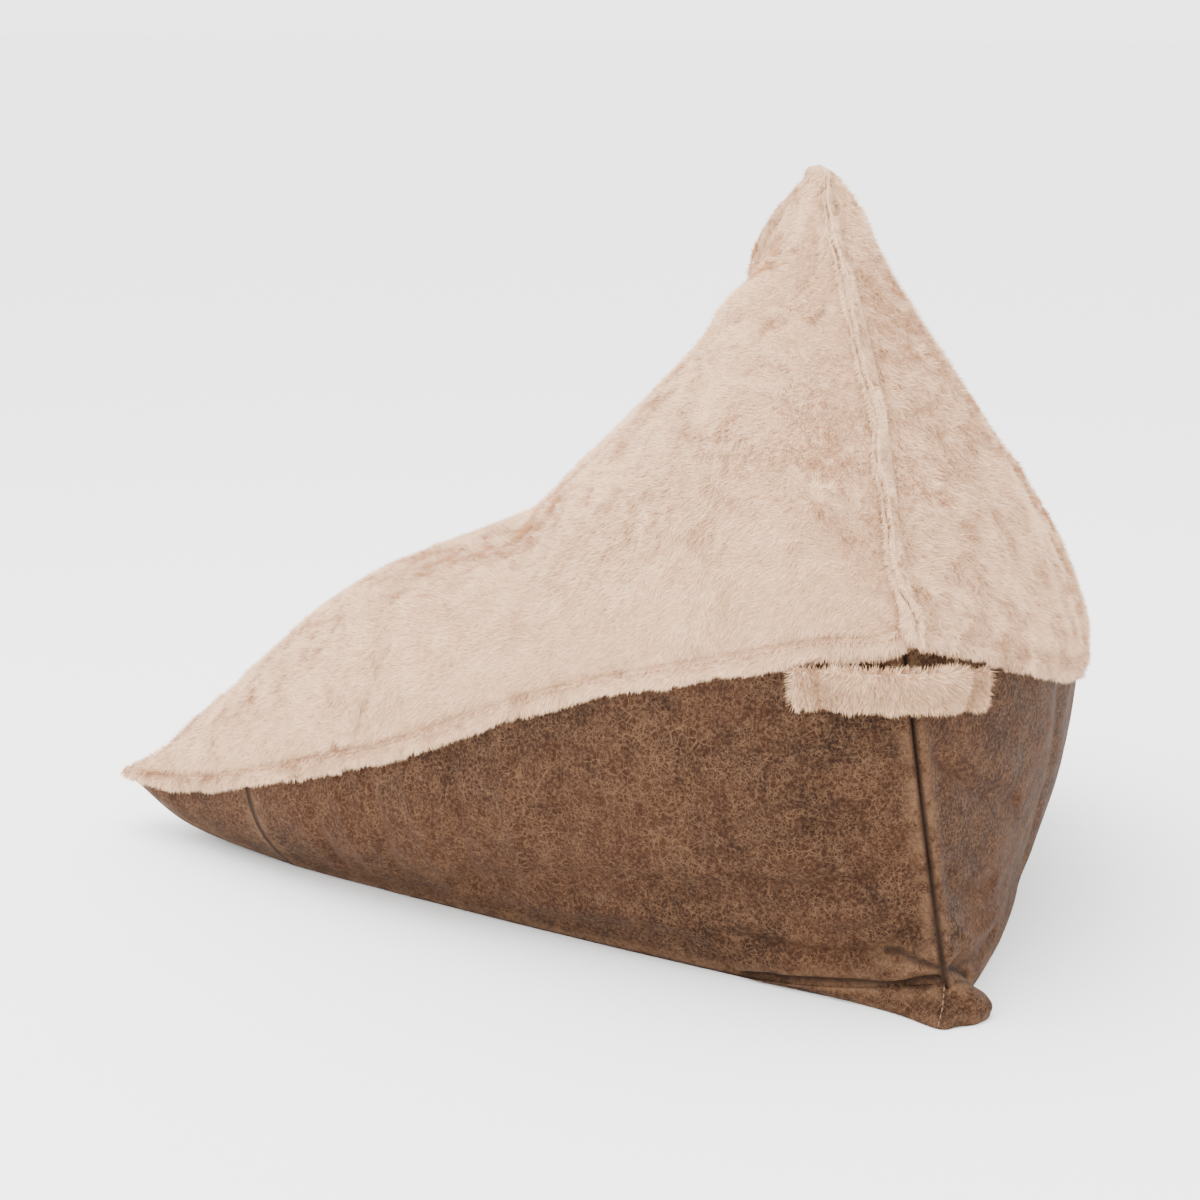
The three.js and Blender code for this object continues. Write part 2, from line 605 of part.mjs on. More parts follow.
const material = (color, roughness, metalness = 0) => new THREE.MeshStandardMaterial({ color, roughness, metalness });
const PLUSH = material(0xd8c4b2, 0.95);
const HIDE = material(0x7d5740, 0.6);
const LINER_CLOTH = material(0xece8df, 0.9);
const BEADS = material(0xf7f7f5, 0.85);
const STRAPPING = material(0x6b5444, 0.9);
const TAPE = material(0x4a352a, 0.9);
const NYLON = material(0x3b2a21, 0.5);
const METAL = material(0x8c8c8c, 0.35, 1);

/** A named mesh of a manifold solid. */
function mesh(name, made, look) {
  const { numProp, vertProperties, triVerts } = made.getMesh();
  const geometry = new THREE.BufferGeometry();
  const positions = new THREE.BufferAttribute(vertProperties.filter((_, i) => i % numProp < 3), 3);
  geometry.setAttribute("position", positions);
  geometry.setIndex(new THREE.BufferAttribute(triVerts, 1));
  geometry.computeVertexNormals();
  const result = new THREE.Mesh(geometry, look);
  result.name = name;
  return result;
}

const coverInner = -LEATHER;
const linerDepth = LEATHER + LAYER_GAP;
const liner = filling(linerDepth, LINER_FLOOR, LINER_TOP)
  .subtract(filling(linerDepth + LINER, LINER_FLOOR + LINER, LINER_TOP - LINER))
  .subtract(zipSlot(LINER_ZIP_LENGTH, LINER_ZIP_Y));
const beads = filling(linerDepth + LINER + LAYER_GAP, BEADS_FLOOR, LINER_TOP - LINER - LAYER_GAP);
const front = panelSheet("front", PILE, coverInner);
const back = clearOf(panelSheet("upper_back", PILE, coverInner), front);
const backHemPiece = clearOf(backHemEdge(), back);
const sideHemPiece = clearOf(sideHem(LEFT_EDGE, "left"), front);
const basePanel = panelSheet("base", 0, coverInner).subtract(zipSlot(COVER_ZIP_LENGTH, COVER_ZIP_Y));
const { sleeve, webbing } = handle();
const coverZipMiddle = LEATHER + COIL_HEIGHT / 2 - ZIP_GAP;
const linerZipMiddle = LINER_FLOOR + LINER + COIL_HEIGHT / 2 - ZIP_GAP;

const pieces = [
  ["plush_front_panel", front, PLUSH],
  ["plush_back_panel", back, PLUSH],
  ["left_rear_plush_flange", clearOf(rearFlange(LEFT_EDGE), front, back), PLUSH],
  ["right_rear_plush_flange", clearOf(rearFlange(RIGHT_EDGE), front, back), PLUSH],
  ["left_plush_hem", sideHemPiece, PLUSH],
  ["right_plush_hem", clearOf(sideHem(RIGHT_EDGE, "right"), front), PLUSH],
  ["back_plush_hem", backHemPiece, PLUSH],
  ["left_leather_side", panelSheet("left", 0, coverInner), HIDE],
  ["right_leather_side", panelSheet("right", 0, coverInner), HIDE],
  ["leather_back", panelSheet("lower_back", 0, coverInner), HIDE],
  ["leather_base", clearOf(basePanel, front), HIDE],
  ["left_leather_ear", ear(1), HIDE],
  ["right_leather_ear", ear(-1), HIDE],
  ["handle_plush_sleeve", clearOf(sleeve, sideHemPiece, backHemPiece), PLUSH],
  ["handle_webbing", webbing, STRAPPING],
  ["liner_bag", liner, LINER_CLOTH],
  ["bead_fill", beads, BEADS],
  ...zip("cover_zip", COVER_ZIP_LENGTH, COVER_ZIP_Y, coverZipMiddle, LEATHER),
  ...zip("liner_zip", LINER_ZIP_LENGTH, LINER_ZIP_Y, linerZipMiddle, LINER_FLOOR + LINER),
];
const chair = new THREE.Group();
for (const [name, made, look] of pieces) chair.add(mesh(name, made, look));
export default chair;
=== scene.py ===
"""A pyramid-shaped bean bag chair: the looks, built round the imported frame.

The cover's surfaces follow the same ribs and seams as the frame's own panels. A plush panel is a sheet with a
short pile of single hairs on it, and a leather panel is a sheet with soft wrinkles and a worn, crackled hide.
"""

import math
from functools import partial

import bmesh
import bpy
import numpy as np
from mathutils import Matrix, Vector


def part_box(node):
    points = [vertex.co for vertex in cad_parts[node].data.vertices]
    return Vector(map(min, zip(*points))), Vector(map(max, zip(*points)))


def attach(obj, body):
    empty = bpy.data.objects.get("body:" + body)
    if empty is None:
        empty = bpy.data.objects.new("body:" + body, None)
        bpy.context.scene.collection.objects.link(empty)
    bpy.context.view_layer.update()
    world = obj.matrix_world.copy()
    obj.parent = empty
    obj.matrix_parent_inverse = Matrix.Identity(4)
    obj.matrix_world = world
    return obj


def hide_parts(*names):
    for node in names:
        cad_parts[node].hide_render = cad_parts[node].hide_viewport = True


bl_info = {
    "name": "Bean Bag Chair",
    "version": (1, 0, 0),
    "blender": (4, 5, 0),
    "location": "View3D > Sidebar > Bean Bag",
    "description": "Builds a plush and leather bean bag chair piece by piece",
    "category": "Add Mesh",
}

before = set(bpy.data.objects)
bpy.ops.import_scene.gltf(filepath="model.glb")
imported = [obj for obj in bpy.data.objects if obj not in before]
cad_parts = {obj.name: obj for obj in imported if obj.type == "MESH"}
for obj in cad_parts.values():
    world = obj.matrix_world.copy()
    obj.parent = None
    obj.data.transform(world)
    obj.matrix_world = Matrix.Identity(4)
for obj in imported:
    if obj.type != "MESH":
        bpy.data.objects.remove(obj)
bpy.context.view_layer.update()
BODY = "chair"

# ---- the shape of the bag ----------------------------------------------------------------------------------

HALF_WIDTH = 0.46
HALF_LENGTH = 0.65
HEIGHT = 0.935
TIP_RADIUS = 0.009
TOE = (0, -0.985, 0.091)  # the middles of the two tips, in shares
TOP = (0, 0.465, 0.99)
LEATHER = 0.0025  # thickness of a leather panel
WRINKLE = 1.6  # how much deeper the leather's folds are than their rows say
HANDLE_LENGTH = 0.25
HANDLE_WIDTH = 0.043
HANDLE_TAB = 0.034  # the length of each end that is sewn down
HANDLE_RISE = 0.023  # how far its middle stands off the seam
HANDLE_ARCH = 0.011  # how much its middle stands above its ends
HANDLE_DROP = 0.07  # below the corner of the hem
HANDLE_SLOPE = 0.014  # how much lower its end on the back panel is
HANDLE_THICKNESS = 0.012
WEBBING_WIDTH = 0.034
EAR_STEPS = 180
EAR_SPLIT = 0.62  # the share of an ear's length at which it passes the rear seam
FILL_TOP = 0.76  # the limp tip above it is empty
LINER_DEPTH = 0.02  # below the cover's smooth surface, clear of its folds
BEAD_DEPTH = 0.024
SLOT_ROOM = 0.006  # the opening round a zip's coils
FLOOR_HALF = 30.0
FLOOR_LEVEL = -0.0006  # just under the frame's floor plane

# Stations 0 to 9 follow the hem from the toe to the rear corner, and 9 to 15 climb the rear seam to the apex.
CORNER = 9
APEX = 15
TOE_SEAM = 2.25  # the base panel wraps up round the toe as far as this station
SCALE = np.array([HALF_WIDTH, HALF_LENGTH, HEIGHT])


def shares(rows):
    """Points given as shares of the half width, the half length and the height, in metres."""
    return np.array(rows, float) * SCALE


def tip(centre, *way):
    """A point on the small ball that blunts a tip of the bag: its centre plus a direction times its radius."""
    return shares(centre) + np.array(way) * TIP_RADIUS


CENTRE = np.vstack([
    tip(TOE, 0, 0, 1),
    shares([
        (0, -0.91, 0.13), (0, -0.755, 0.225), (0, -0.585, 0.33), (0, -0.41, 0.419), (0, -0.225, 0.473),
        (0, -0.105, 0.51), (0, 0.015, 0.59), (0, 0.095, 0.65), (0, 0.165, 0.703), (0, 0.235, 0.756),
        (0, 0.285, 0.8), (0, 0.325, 0.84), (0, 0.385, 0.885), (0, 0.43, 0.945),
    ]),
    tip(TOP, 0, -1, 0.5),
])
LEFT_EDGE = np.vstack([
    tip(TOE, 1, 0, 0),
    shares([
        (0.1, -0.86, 0.103), (0.26, -0.7, 0.137), (0.41, -0.515, 0.187), (0.57, -0.29, 0.248),
        (0.72, -0.045, 0.332), (0.835, 0.177, 0.393), (0.925, 0.4, 0.44), (0.97, 0.57, 0.473),
        (0.98, 0.708, 0.495), (0.81, 0.68, 0.585), (0.61, 0.645, 0.67), (0.41, 0.597, 0.77),
        (0.22, 0.535, 0.875), (0.1, 0.495, 0.945),
    ]),
    tip(TOP, 1, 0.6, 0),
])
TOE_POLE = tip(TOE, 0, -1, 0)
APEX_POLE = tip(TOP, 0, 0, 1)
RIGHT_SAG = 0.05  # of HEIGHT: how much lower the hem's right rear corner lies
MIRROR = np.array([-1, 1, 1])
SAG = np.outer((np.arange(CORNER) / CORNER) ** 2, [0, 0, RIGHT_SAG * HEIGHT])
RIGHT_EDGE = np.vstack([
    LEFT_EDGE[:CORNER] * MIRROR - SAG,
    shares([
        (-0.97, 0.69, 0.445), (-0.82, 0.6, 0.55), (-0.62, 0.45, 0.665), (-0.4, 0.325, 0.78),
        (-0.235, 0.34, 0.868), (-0.11, 0.405, 0.945),
    ]),
    tip(TOP, -1, -0.6, 0),
])
LEFT_RIM = np.vstack([
    tip(TOE, 0.5, 0, -1),
    shares([
        (0.09, -0.84, 0.03), (0.19, -0.625, 0.004), (0.295, -0.445, 0), (0.425, -0.23, 0), (0.535, -0.04, 0),
        (0.65, 0.17, 0), (0.76, 0.385, 0), (0.86, 0.59, 0), (0.93, 0.81, 0),
    ]),
])
RIGHT_RIM = LEFT_RIM * MIRROR
BACK_BULGE = np.array([0.3, 0.325, 0.31, 0.25, 0.15, 0.08, 0.015])[:, None] * HALF_LENGTH
BACK_HEM_DIP = 0.115 * HEIGHT
BACK_FOOT_BULGE = 0.075 * HALF_LENGTH
BACK_BELLY = 0.02 * HALF_LENGTH
SIDE_BELLY = 0.11 * HALF_WIDTH
CORNER_BELLY = 0.03 * HALF_WIDTH


def unit(vectors):
    """Vectors divided by their lengths."""
    return vectors / np.maximum(np.linalg.norm(vectors, axis=-1, keepdims=True), 1e-12)


def smoothstep(x, low, high):
    """0 below low, 1 above high, and 3 t^2 - 2 t^3 of the share t between them."""
    t = np.clip((x - low) / (high - low), 0, 1)
    return t * t * (3 - 2 * t)


def mix(first, second, share):
    """The straight blend of two arrays."""
    return first * (1 - share) + second * share


def between(right, left, s):
    """The straight blend from the right, where s is -1, to the left, where it is 1."""
    return mix(right, left, (1 + s[..., None]) / 2)


def along(points, index):
    """A uniform Catmull-Rom curve: between two points a cubic, whose slope at each is half the chord from the
    point before it to the point after it. index is an array of fractional point numbers."""
    last = len(points) - 1
    row = np.vstack([2 * points[0] - points[1], points, 2 * points[-1] - points[-2]])
    index = np.clip(index, 0, last)
    i = np.minimum(index.astype(int), last - 1)
    t = (index - i)[..., None]
    a, b, c, d = row[i], row[i + 1], row[i + 2], row[i + 3]
    return b + 0.5 * t * (c - a + t * (2 * a - 5 * b + 4 * c - d + t * (3 * (b - c) + d - a)))


def front_surface(station, s):
    """Each half rib is a quarter of an ellipse, level at the centre line and square to the edge, that is
    blended with its straight chord towards the limp tip. s runs from -1 at the right edge to 1 at the left."""
    centre = along(CENTRE, station)
    edge = np.where((s > 0)[..., None], along(LEFT_EDGE, station), along(RIGHT_EDGE, station))
    run = along(CENTRE, station + 0.1) - along(CENTRE, station - 0.1)
    normal = unit(run[..., [0, 2, 1]] * np.array([0, -1, 1]))
    chord = edge - centre
    depth = normal * (chord * normal).sum(-1, keepdims=True)
    share = np.abs(s)[..., None]
    angle = share * math.pi / 2
    arch = centre + (chord - depth) * np.sin(angle) + depth * (1 - np.cos(angle))
    limp = smoothstep(station, CORNER + 2, APEX - 1)[..., None]
    return arch + (centre + chord * share - arch) * 0.75 * limp


def back_surface(station, s):
    """The straight line between the two rear seams, moved back by a bulge that falls off as a power of
    1 - s^2, and down towards the middle of the hem."""
    p = between(along(RIGHT_EDGE, station), along(LEFT_EDGE, station), s)
    crown = np.maximum(1 - s * s, 0)
    p[..., 1] += along(BACK_BULGE, station - CORNER)[..., 0] * crown**0.85
    p[..., 2] -= BACK_HEM_DIP * crown**1.3 * (1 - smoothstep(station, CORNER, APEX - 1))
    return p


def lower_back_surface(t, s):
    """The line from the back hem to the bowed foot of the back, with a belly that is a half sine of t."""
    foot = between(RIGHT_RIM[CORNER], LEFT_RIM[CORNER], s)
    foot[..., 1] += BACK_FOOT_BULGE * (1 - s * s)
    hem = back_surface(np.full(s.shape, float(CORNER)), s)
    belly = np.sin(math.pi * t)
    p = mix(hem, foot, t[..., None])
    p[..., 1] += BACK_BELLY * belly * (1 - s * s)
    p[..., 0] += s * np.abs(s) * CORNER_BELLY * belly
    return p


def side_surface(side, station, t):
    """The line from the hem to the rim of the base, with a belly that is a half sine of t. side is 1 on the
    left and -1 on the right."""
    hem = along(LEFT_EDGE if side > 0 else RIGHT_EDGE, station)
    rim = along(LEFT_RIM if side > 0 else RIGHT_RIM, station)
    p = mix(hem, rim, t[..., None])
    swell = np.sin(math.pi * station / CORNER) * SIDE_BELLY + (station / CORNER) ** 4 * CORNER_BELLY
    p[..., 0] += side * swell * np.sin(math.pi * t)
    return p


def base_surface(station, s):
    """The straight line between the two rims of the base, bowed back towards the foot of the back panel."""
    p = between(along(RIGHT_RIM, station), along(LEFT_RIM, station), s)
    p[..., 1] += BACK_FOOT_BULGE * (1 - s * s) * smoothstep(station, 6, CORNER)
    return p


# ---- noise, grids and meshes ---------------------------------------------------------------------------------


def lattice_value(cell, seed):
    """A number from -1 to 1 for each lattice cell, by an integer hash of its three indices and the seed."""
    h = (cell * np.array([374761393, 668265263, 2246822519])).sum(-1) + seed * 3266489917
    h = h & 0xFFFFFFFF
    h = ((h ^ (h >> 13)) * 1274126177) & 0xFFFFFFFF
    return ((h ^ (h >> 16)) & 0xFFFF) / 32767.5 - 1


def noise(points, size, seed=0):
    """Smooth value noise: a number for each corner of a cubic lattice with cells of the given size, blended
    by the smoothstep of the place inside the cell."""
    q = points / size
    cell = np.floor(q).astype(np.int64)
    f = q - cell
    f = f * f * (3 - 2 * f)
    total = 0
    for corner in np.ndindex(2, 2, 2):
        weight = np.prod(np.where(np.array(corner, bool), f, 1 - f), axis=-1)
        total = total + weight * lattice_value(cell + np.array(corner), seed)
    return total


class Panel:
    """A surface on a grid of two parameters, with its outward normals and its distance from its own edges."""

    def __init__(self, surface, us, vs, outward, before=None, after=None):
        self.u, self.v = np.meshgrid(us, vs, indexing="ij")
        self.points = surface(self.u, self.v)
        self.outward = outward
        self.before, self.after = before, after
        self.crease = np.inf  # distance from the nearest sharp groove, along which shade is painted
        self.measure()

    def measure(self):
        """Normals are the cross products of the grid's two slopes. The edge distances are the running sums of
        the grid's steps from either end."""
        du, dv = np.gradient(self.points, axis=0), np.gradient(self.points, axis=1)
        self.normals = unit(np.cross(du, dv)) * self.outward
        self.to_v_edge = self.edge_distance(self.points)
        self.to_u_edge = self.edge_distance(self.points.swapaxes(0, 1)).T

    def shade_distance(self):
        """Distance from the nearest edge or sharp groove, where painted shade darkens the pile and the leather."""
        return np.minimum(np.minimum(self.to_u_edge, self.to_v_edge), self.crease)

    @staticmethod
    def edge_distance(points):
        steps = np.linalg.norm(np.diff(points, axis=1), axis=-1)
        run = np.concatenate([np.zeros((len(points), 1)), np.cumsum(steps, axis=1)], axis=1)
        return np.minimum(run, run[:, -1:] - run)

    def raise_by(self, relief):
        """Moves every point along its normal."""
        self.points = self.points + self.normals * relief[..., None]
        self.measure()


def line_distance(points, line):
    """Distance from each point to a polyline: the least of the distances to its segments."""
    best = np.full(points.shape[:-1], np.inf)
    for a, b in zip(line[:-1], line[1:]):
        ab = b - a
        t = np.clip(((points - a) @ ab) / (ab @ ab), 0, 1)
        best = np.minimum(best, np.linalg.norm(points - a - t[..., None] * ab, axis=-1))
    return best


def ridge(points, line, height, width):
    """A ridge along a line, or a groove if the height is negative: height times exp(-(distance / width)^2)."""
    return height * np.exp(-((line_distance(points, line) / width) ** 2))


def on_surface(surface, pairs, count=12):
    """A smooth line on a surface, through pairs of its two parameters."""
    path = along(np.array(pairs, float), np.linspace(0, len(pairs) - 1, count))
    return surface(path[:, 0], path[:, 1])


def grid_faces(rows, cols, flip):
    """Quads between neighbouring rows and columns of a grid."""
    index = np.arange(rows * cols).reshape(rows, cols)
    quads = np.stack([index[:-1, :-1], index[1:, :-1], index[1:, 1:], index[:-1, 1:]], -1).reshape(-1, 4)
    return quads[:, ::-1] if flip else quads


def linked(name, data):
    """A new object in the scene."""
    made = bpy.data.objects.new(name, data)
    bpy.context.scene.collection.objects.link(made)
    return made


def rework(mesh, change):
    """Runs a change on an editable copy of a mesh and writes it back."""
    work = bmesh.new()
    work.from_mesh(mesh)
    change(work)
    work.to_mesh(mesh)
    work.free()


def face_outwards(work):
    """Turns the faces of closed shells outwards."""
    bmesh.ops.recalc_face_normals(work, faces=work.faces)


def new_object(name, vertices, faces, smooth=True, merge=0.0, seam=None):
    """A mesh object at the origin, with the seam distance per vertex as an attribute and near vertices
    merged."""
    mesh = bpy.data.meshes.new(name)
    mesh.from_pydata(vertices.tolist(), [], faces.tolist())
    if seam is not None:
        mesh.attributes.new("seam", "FLOAT", "POINT").data.foreach_set("value", seam.astype(np.float32))

    def close(work):
        bmesh.ops.remove_doubles(work, verts=work.verts, dist=merge)
        bmesh.ops.dissolve_degenerate(work, edges=work.edges, dist=merge)

    if merge:
        rework(mesh, close)
    mesh.polygons.foreach_set("use_smooth", [smooth] * len(mesh.polygons))
    return linked(name, mesh)


def joined(panels):
    """Vertices, faces and edge distances of panels laid into one mesh. A panel with a pole before its first
    row or after its last gets a closing row of copies of that point."""
    vertices, faces, seam, start = [], [], [], 0
    for panel in panels:
        points, distance = panel.points, panel.shade_distance()
        if panel.before is not None:
            points = np.concatenate([np.broadcast_to(panel.before, points[:1].shape), points])
            distance = np.concatenate([distance[:1], distance])
        if panel.after is not None:
            points = np.concatenate([points, np.broadcast_to(panel.after, points[:1].shape)])
            distance = np.concatenate([distance, distance[-1:]])
        rows, cols = points.shape[:2]
        vertices.append(points.reshape(-1, 3))
        faces.append(grid_faces(rows, cols, panel.outward < 0) + start)
        seam.append(distance.ravel())
        start += rows * cols
    return np.concatenate(vertices), np.concatenate(faces), np.concatenate(seam)


def add_thickness(made, thickness):
    """Gives a sheet its thickness, inwards."""
    wall = made.modifiers.new("Thickness", "SOLIDIFY")
    wall.thickness = thickness
    wall.offset = -1


def sheet_object(name, panels, thickness):
    """One sheet from one or more panels that share edges."""
    vertices, faces, seam = joined(panels)
    made = new_object(name, vertices, faces, merge=0.0003, seam=seam)
    add_thickness(made, thickness)
    return made


def tube(path, across, out, profile):
    """A closed profile carried along a path. Each profile point (a, b) lies a across and b out from the path,
    and the profile may change from one path point to the next."""
    return closed_rings(path[:, None] + across[:, None] * profile[..., 0:1] + out[:, None] * profile[..., 1:2])


def closed_rings(ring):
    """Rings of points as a closed grid: each ring ends at its first point, and the end rings shrink to their
    middles."""
    ends = ring.mean(axis=1, keepdims=True)[[0, -1]]
    ring = np.concatenate([np.repeat(ends[:1], ring.shape[1], 1), ring, np.repeat(ends[1:], ring.shape[1], 1)])
    return np.concatenate([ring, ring[:, :1]], axis=1)


class Rope(Panel):
    """A tube as a panel, so that hairs can grow on it."""

    CLEAR = 0.1  # metres, farther than the shade of any groove reaches

    def __init__(self, grid, crease=CLEAR):
        self.points, self.outward = grid, 1
        self.before = self.after = None
        self.crease = np.full(grid.shape[:2], self.CLEAR)
        self.crease[1:-1, : grid.shape[1] - 1] = crease
        self.crease[:, -1] = self.crease[:, 0]
        self.measure()
        middle = grid.mean(axis=1, keepdims=True)
        if (self.normals * (grid - middle)).sum() < 0:
            self.outward = -1
            self.measure()

    def shade_distance(self):
        """Distance from the grooves that the tube was given. It has no edges."""
        return self.crease


def tube_object(name, rope):
    """The closed mesh of a tube, facing outwards."""
    rows, cols = rope.points.shape[:2]
    return new_object(name, rope.points.reshape(-1, 3), grid_faces(rows, cols, rope.outward < 0), merge=0.0002)


def finish_piece(made, material, slot, *nodes):
    """Gives a piece its material and its body, and hides the frame's nodes that it stands for. The slot is not
    used.
    """
    if material is not None:
        made.data.materials.clear()
        made.data.materials.append(material)
    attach(made, BODY)
    if nodes:
        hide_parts(*nodes)
    return made


# ---- the pile ----------------------------------------------------------------------------------------------


MOST_HAIRS = 190_000  # in one piece
TONES = 6
SWIRL = ((0.11, 0.5), (0.03, 0.6), (0.009, 0.6))  # sizes and weights of the noise that turns the nap


def scatter(panel, count, rng):
    """Random places spread evenly over a grid surface. A cell is drawn by its area, and the place inside it
    by bilinear blending of its corners."""
    p = panel.points
    a, b, c, d = p[:-1, :-1], p[1:, :-1], p[1:, 1:], p[:-1, 1:]
    area = np.linalg.norm(np.cross(c - a, d - b), axis=-1).ravel() / 2
    sums = np.cumsum(area)
    pick = np.minimum(np.searchsorted(sums, rng.random(count) * sums[-1]), len(sums) - 1)
    i, j = np.unravel_index(pick, a.shape[:2])
    f, g = rng.random((2, count, 1))

    def blend(grid):
        return (1 - f) * ((1 - g) * grid[i, j] + g * grid[i, j + 1]) + f * (
            (1 - g) * grid[i + 1, j] + g * grid[i + 1, j + 1]
        )

    edge = panel.shade_distance()[..., None]
    return blend(p), unit(blend(panel.normals)), blend(edge)[:, 0]


def surface_area(panel):
    """Sum of the areas of a grid's cells, in square metres."""
    p = panel.points
    return float(np.linalg.norm(np.cross(p[1:, 1:] - p[:-1, :-1], p[:-1, 1:] - p[1:, :-1]), axis=-1).sum() / 2)


def grow_pile(name, panel, look, materials, seed):
    """Single hairs as narrow triangles. Each leans from the normal towards the lie of the nap, which three
    scales of noise swirl, and its tone follows the nap's patches with some chance. Hairs in a crevice, near an
    edge, are shorter, and painted shade gives them darker tones."""
    count = int(surface_area(panel) * look["density"] / (1))
    rng = np.random.default_rng(seed)
    root, normal, edge = scatter(panel, count, rng)
    swirl = sum(
        weight * np.stack([noise(root, size, seed + 7 * axis) for axis in range(3)], -1)
        for size, weight in SWIRL
    )
    lie = np.array(look["lie"], float) + swirl
    lie = unit(lie - normal * (lie * normal).sum(-1, keepdims=True))
    lean = look["lean"] + 0.22 * rng.standard_normal(count) + 0.25 * noise(root, 0.02, seed + 31)
    lean = np.clip(lean, 0.15, 1.45)[:, None]
    length = look["length"] * (0.65 + 0.6 * rng.random((count, 1)))
    length = length * (1 + 0.25 * noise(root, 0.012, seed + 5)[:, None])
    length = length * (1 - look["crevice"] * 0.75 * np.exp(-edge / 0.008))[:, None]
    way = normal * np.cos(lean) + lie * np.sin(lean)
    way = unit(way + 0.16 * rng.standard_normal((count, 3)))
    flat = unit(np.cross(way, normal)) * (look["width"] / 2)
    foot = root - normal * 0.0008
    tips = root + way * length
    patches = 0.28 * noise(root, 0.1, seed + 3) + 0.14 * noise(root, 0.024, seed + 4)
    patches = patches + 0.85 * noise(root, 0.006, seed + 6)
    tone = 0.65 * TONES - look["shade"] + 0.9 * patches + look["spread"] * rng.standard_normal(count)
    # Painted shade: near an edge or a sharp groove the hairs take darker tones.
    tone = tone - look["crevice"] * 3.2 * np.exp(-((edge / 0.009) ** 2))
    tone = np.clip(tone, 0, TONES - 1).astype(np.int32)
    vertices = np.stack([foot - flat, foot + flat, tips], 1)
    made = []
    for part, start in enumerate(range(0, count, MOST_HAIRS)):
        chunk = slice(start, start + MOST_HAIRS)
        made.append(hair_object(f"{name}_{part + 1}", vertices[chunk], tone[chunk], materials))
    return made


def hair_object(name, triangles, tone, materials):
    """Separate triangles as one mesh, each with the material of its tone."""
    count = len(triangles)
    mesh = bpy.data.meshes.new(name)
    mesh.vertices.add(3 * count)
    mesh.vertices.foreach_set("co", triangles.astype(np.float32).ravel())
    mesh.loops.add(3 * count)
    mesh.loops.foreach_set("vertex_index", np.arange(3 * count, dtype=np.int32))
    mesh.polygons.add(count)
    mesh.polygons.foreach_set("loop_start", np.arange(0, 3 * count, 3, dtype=np.int32))
    for material in materials:
        mesh.materials.append(material)
    mesh.polygons.foreach_set("material_index", tone)
    mesh.update(calc_edges=True)
    return finish_piece(linked(name, mesh), None, "plush")


# ---- materials -----------------------------------------------------------------------------------------------


LEATHER_DEPTH = 0.55  # the share of the leather's own colours that reaches the shader, in the stage's strong light


def linear(hex_code):
    """A colour written as RRGGBB in linear light, by the sRGB curve."""
    parts = [int(hex_code[i : i + 2], 16) / 255 for i in (0, 2, 4)]
    return [p / 12.92 if p <= 0.04045 else ((p + 0.055) / 1.055) ** 2.4 for p in parts]


def node(tree, kind, inputs=None, **settings):
    """A new node. Inputs are sockets to link or values to set."""
    made = tree.nodes.new(kind)
    for key, value in settings.items():
        setattr(made, key, value)
    for key, value in (inputs or {}).items():
        if isinstance(value, bpy.types.NodeSocket):
            tree.links.new(value, made.inputs[key])
        else:
            made.inputs[key].default_value = value
    return made


def mixed(tree, factor, first, second):
    """The colour mix of two colours or sockets."""
    return node(tree, "ShaderNodeMix", {0: factor, 6: first, 7: second}, data_type="RGBA").outputs[2]


def maths(tree, operation, *values):
    """One arithmetic node on values or sockets."""
    return node(tree, "ShaderNodeMath", dict(enumerate(values)), operation=operation).outputs[0]


def span(tree, value, low, high, to_low=0.0, to_high=1.0):
    """A value mapped from one range to another and kept inside it."""
    inputs = {"Value": value, "From Min": low, "From Max": high, "To Min": to_low, "To Max": to_high}
    return node(tree, "ShaderNodeMapRange", inputs, interpolation_type="SMOOTHSTEP").outputs["Result"]


def noise_node(tree, vector, scale, detail=4.0, roughness=0.6, distortion=0.0):
    """Fractal noise of a vector."""
    inputs = {"Vector": vector, "Scale": scale, "Detail": detail, "Roughness": roughness, "Distortion": distortion}
    return node(tree, "ShaderNodeTexNoise", inputs).outputs["Fac"]


def new_group(name, inputs, outputs):
    """An empty shader node group, and its input and output nodes. An input with no value is a vector, one
    with a tuple is a colour, and one with a number is a float. Outputs give their kinds."""
    tree = bpy.data.node_groups.new(name, "ShaderNodeTree")
    for key, value in inputs.items():
        kind = "Vector" if value is None else "Color" if isinstance(value, tuple) else "Float"
        socket = tree.interface.new_socket(key, in_out="INPUT", socket_type=f"NodeSocket{kind}")
        if value is not None:
            socket.default_value = value
    for key, kind in outputs.items():
        tree.interface.new_socket(key, in_out="OUTPUT", socket_type=f"NodeSocket{kind}")
    return tree, tree.nodes.new("NodeGroupInput"), tree.nodes.new("NodeGroupOutput")


def put_out(tree, end, **values):
    """Links values to a group's outputs."""
    for key, value in values.items():
        tree.links.new(value, end.inputs[key])
    return tree


def product(tree, first, second):
    """The product of two values or sockets."""
    return maths(tree, "MULTIPLY", first, second)


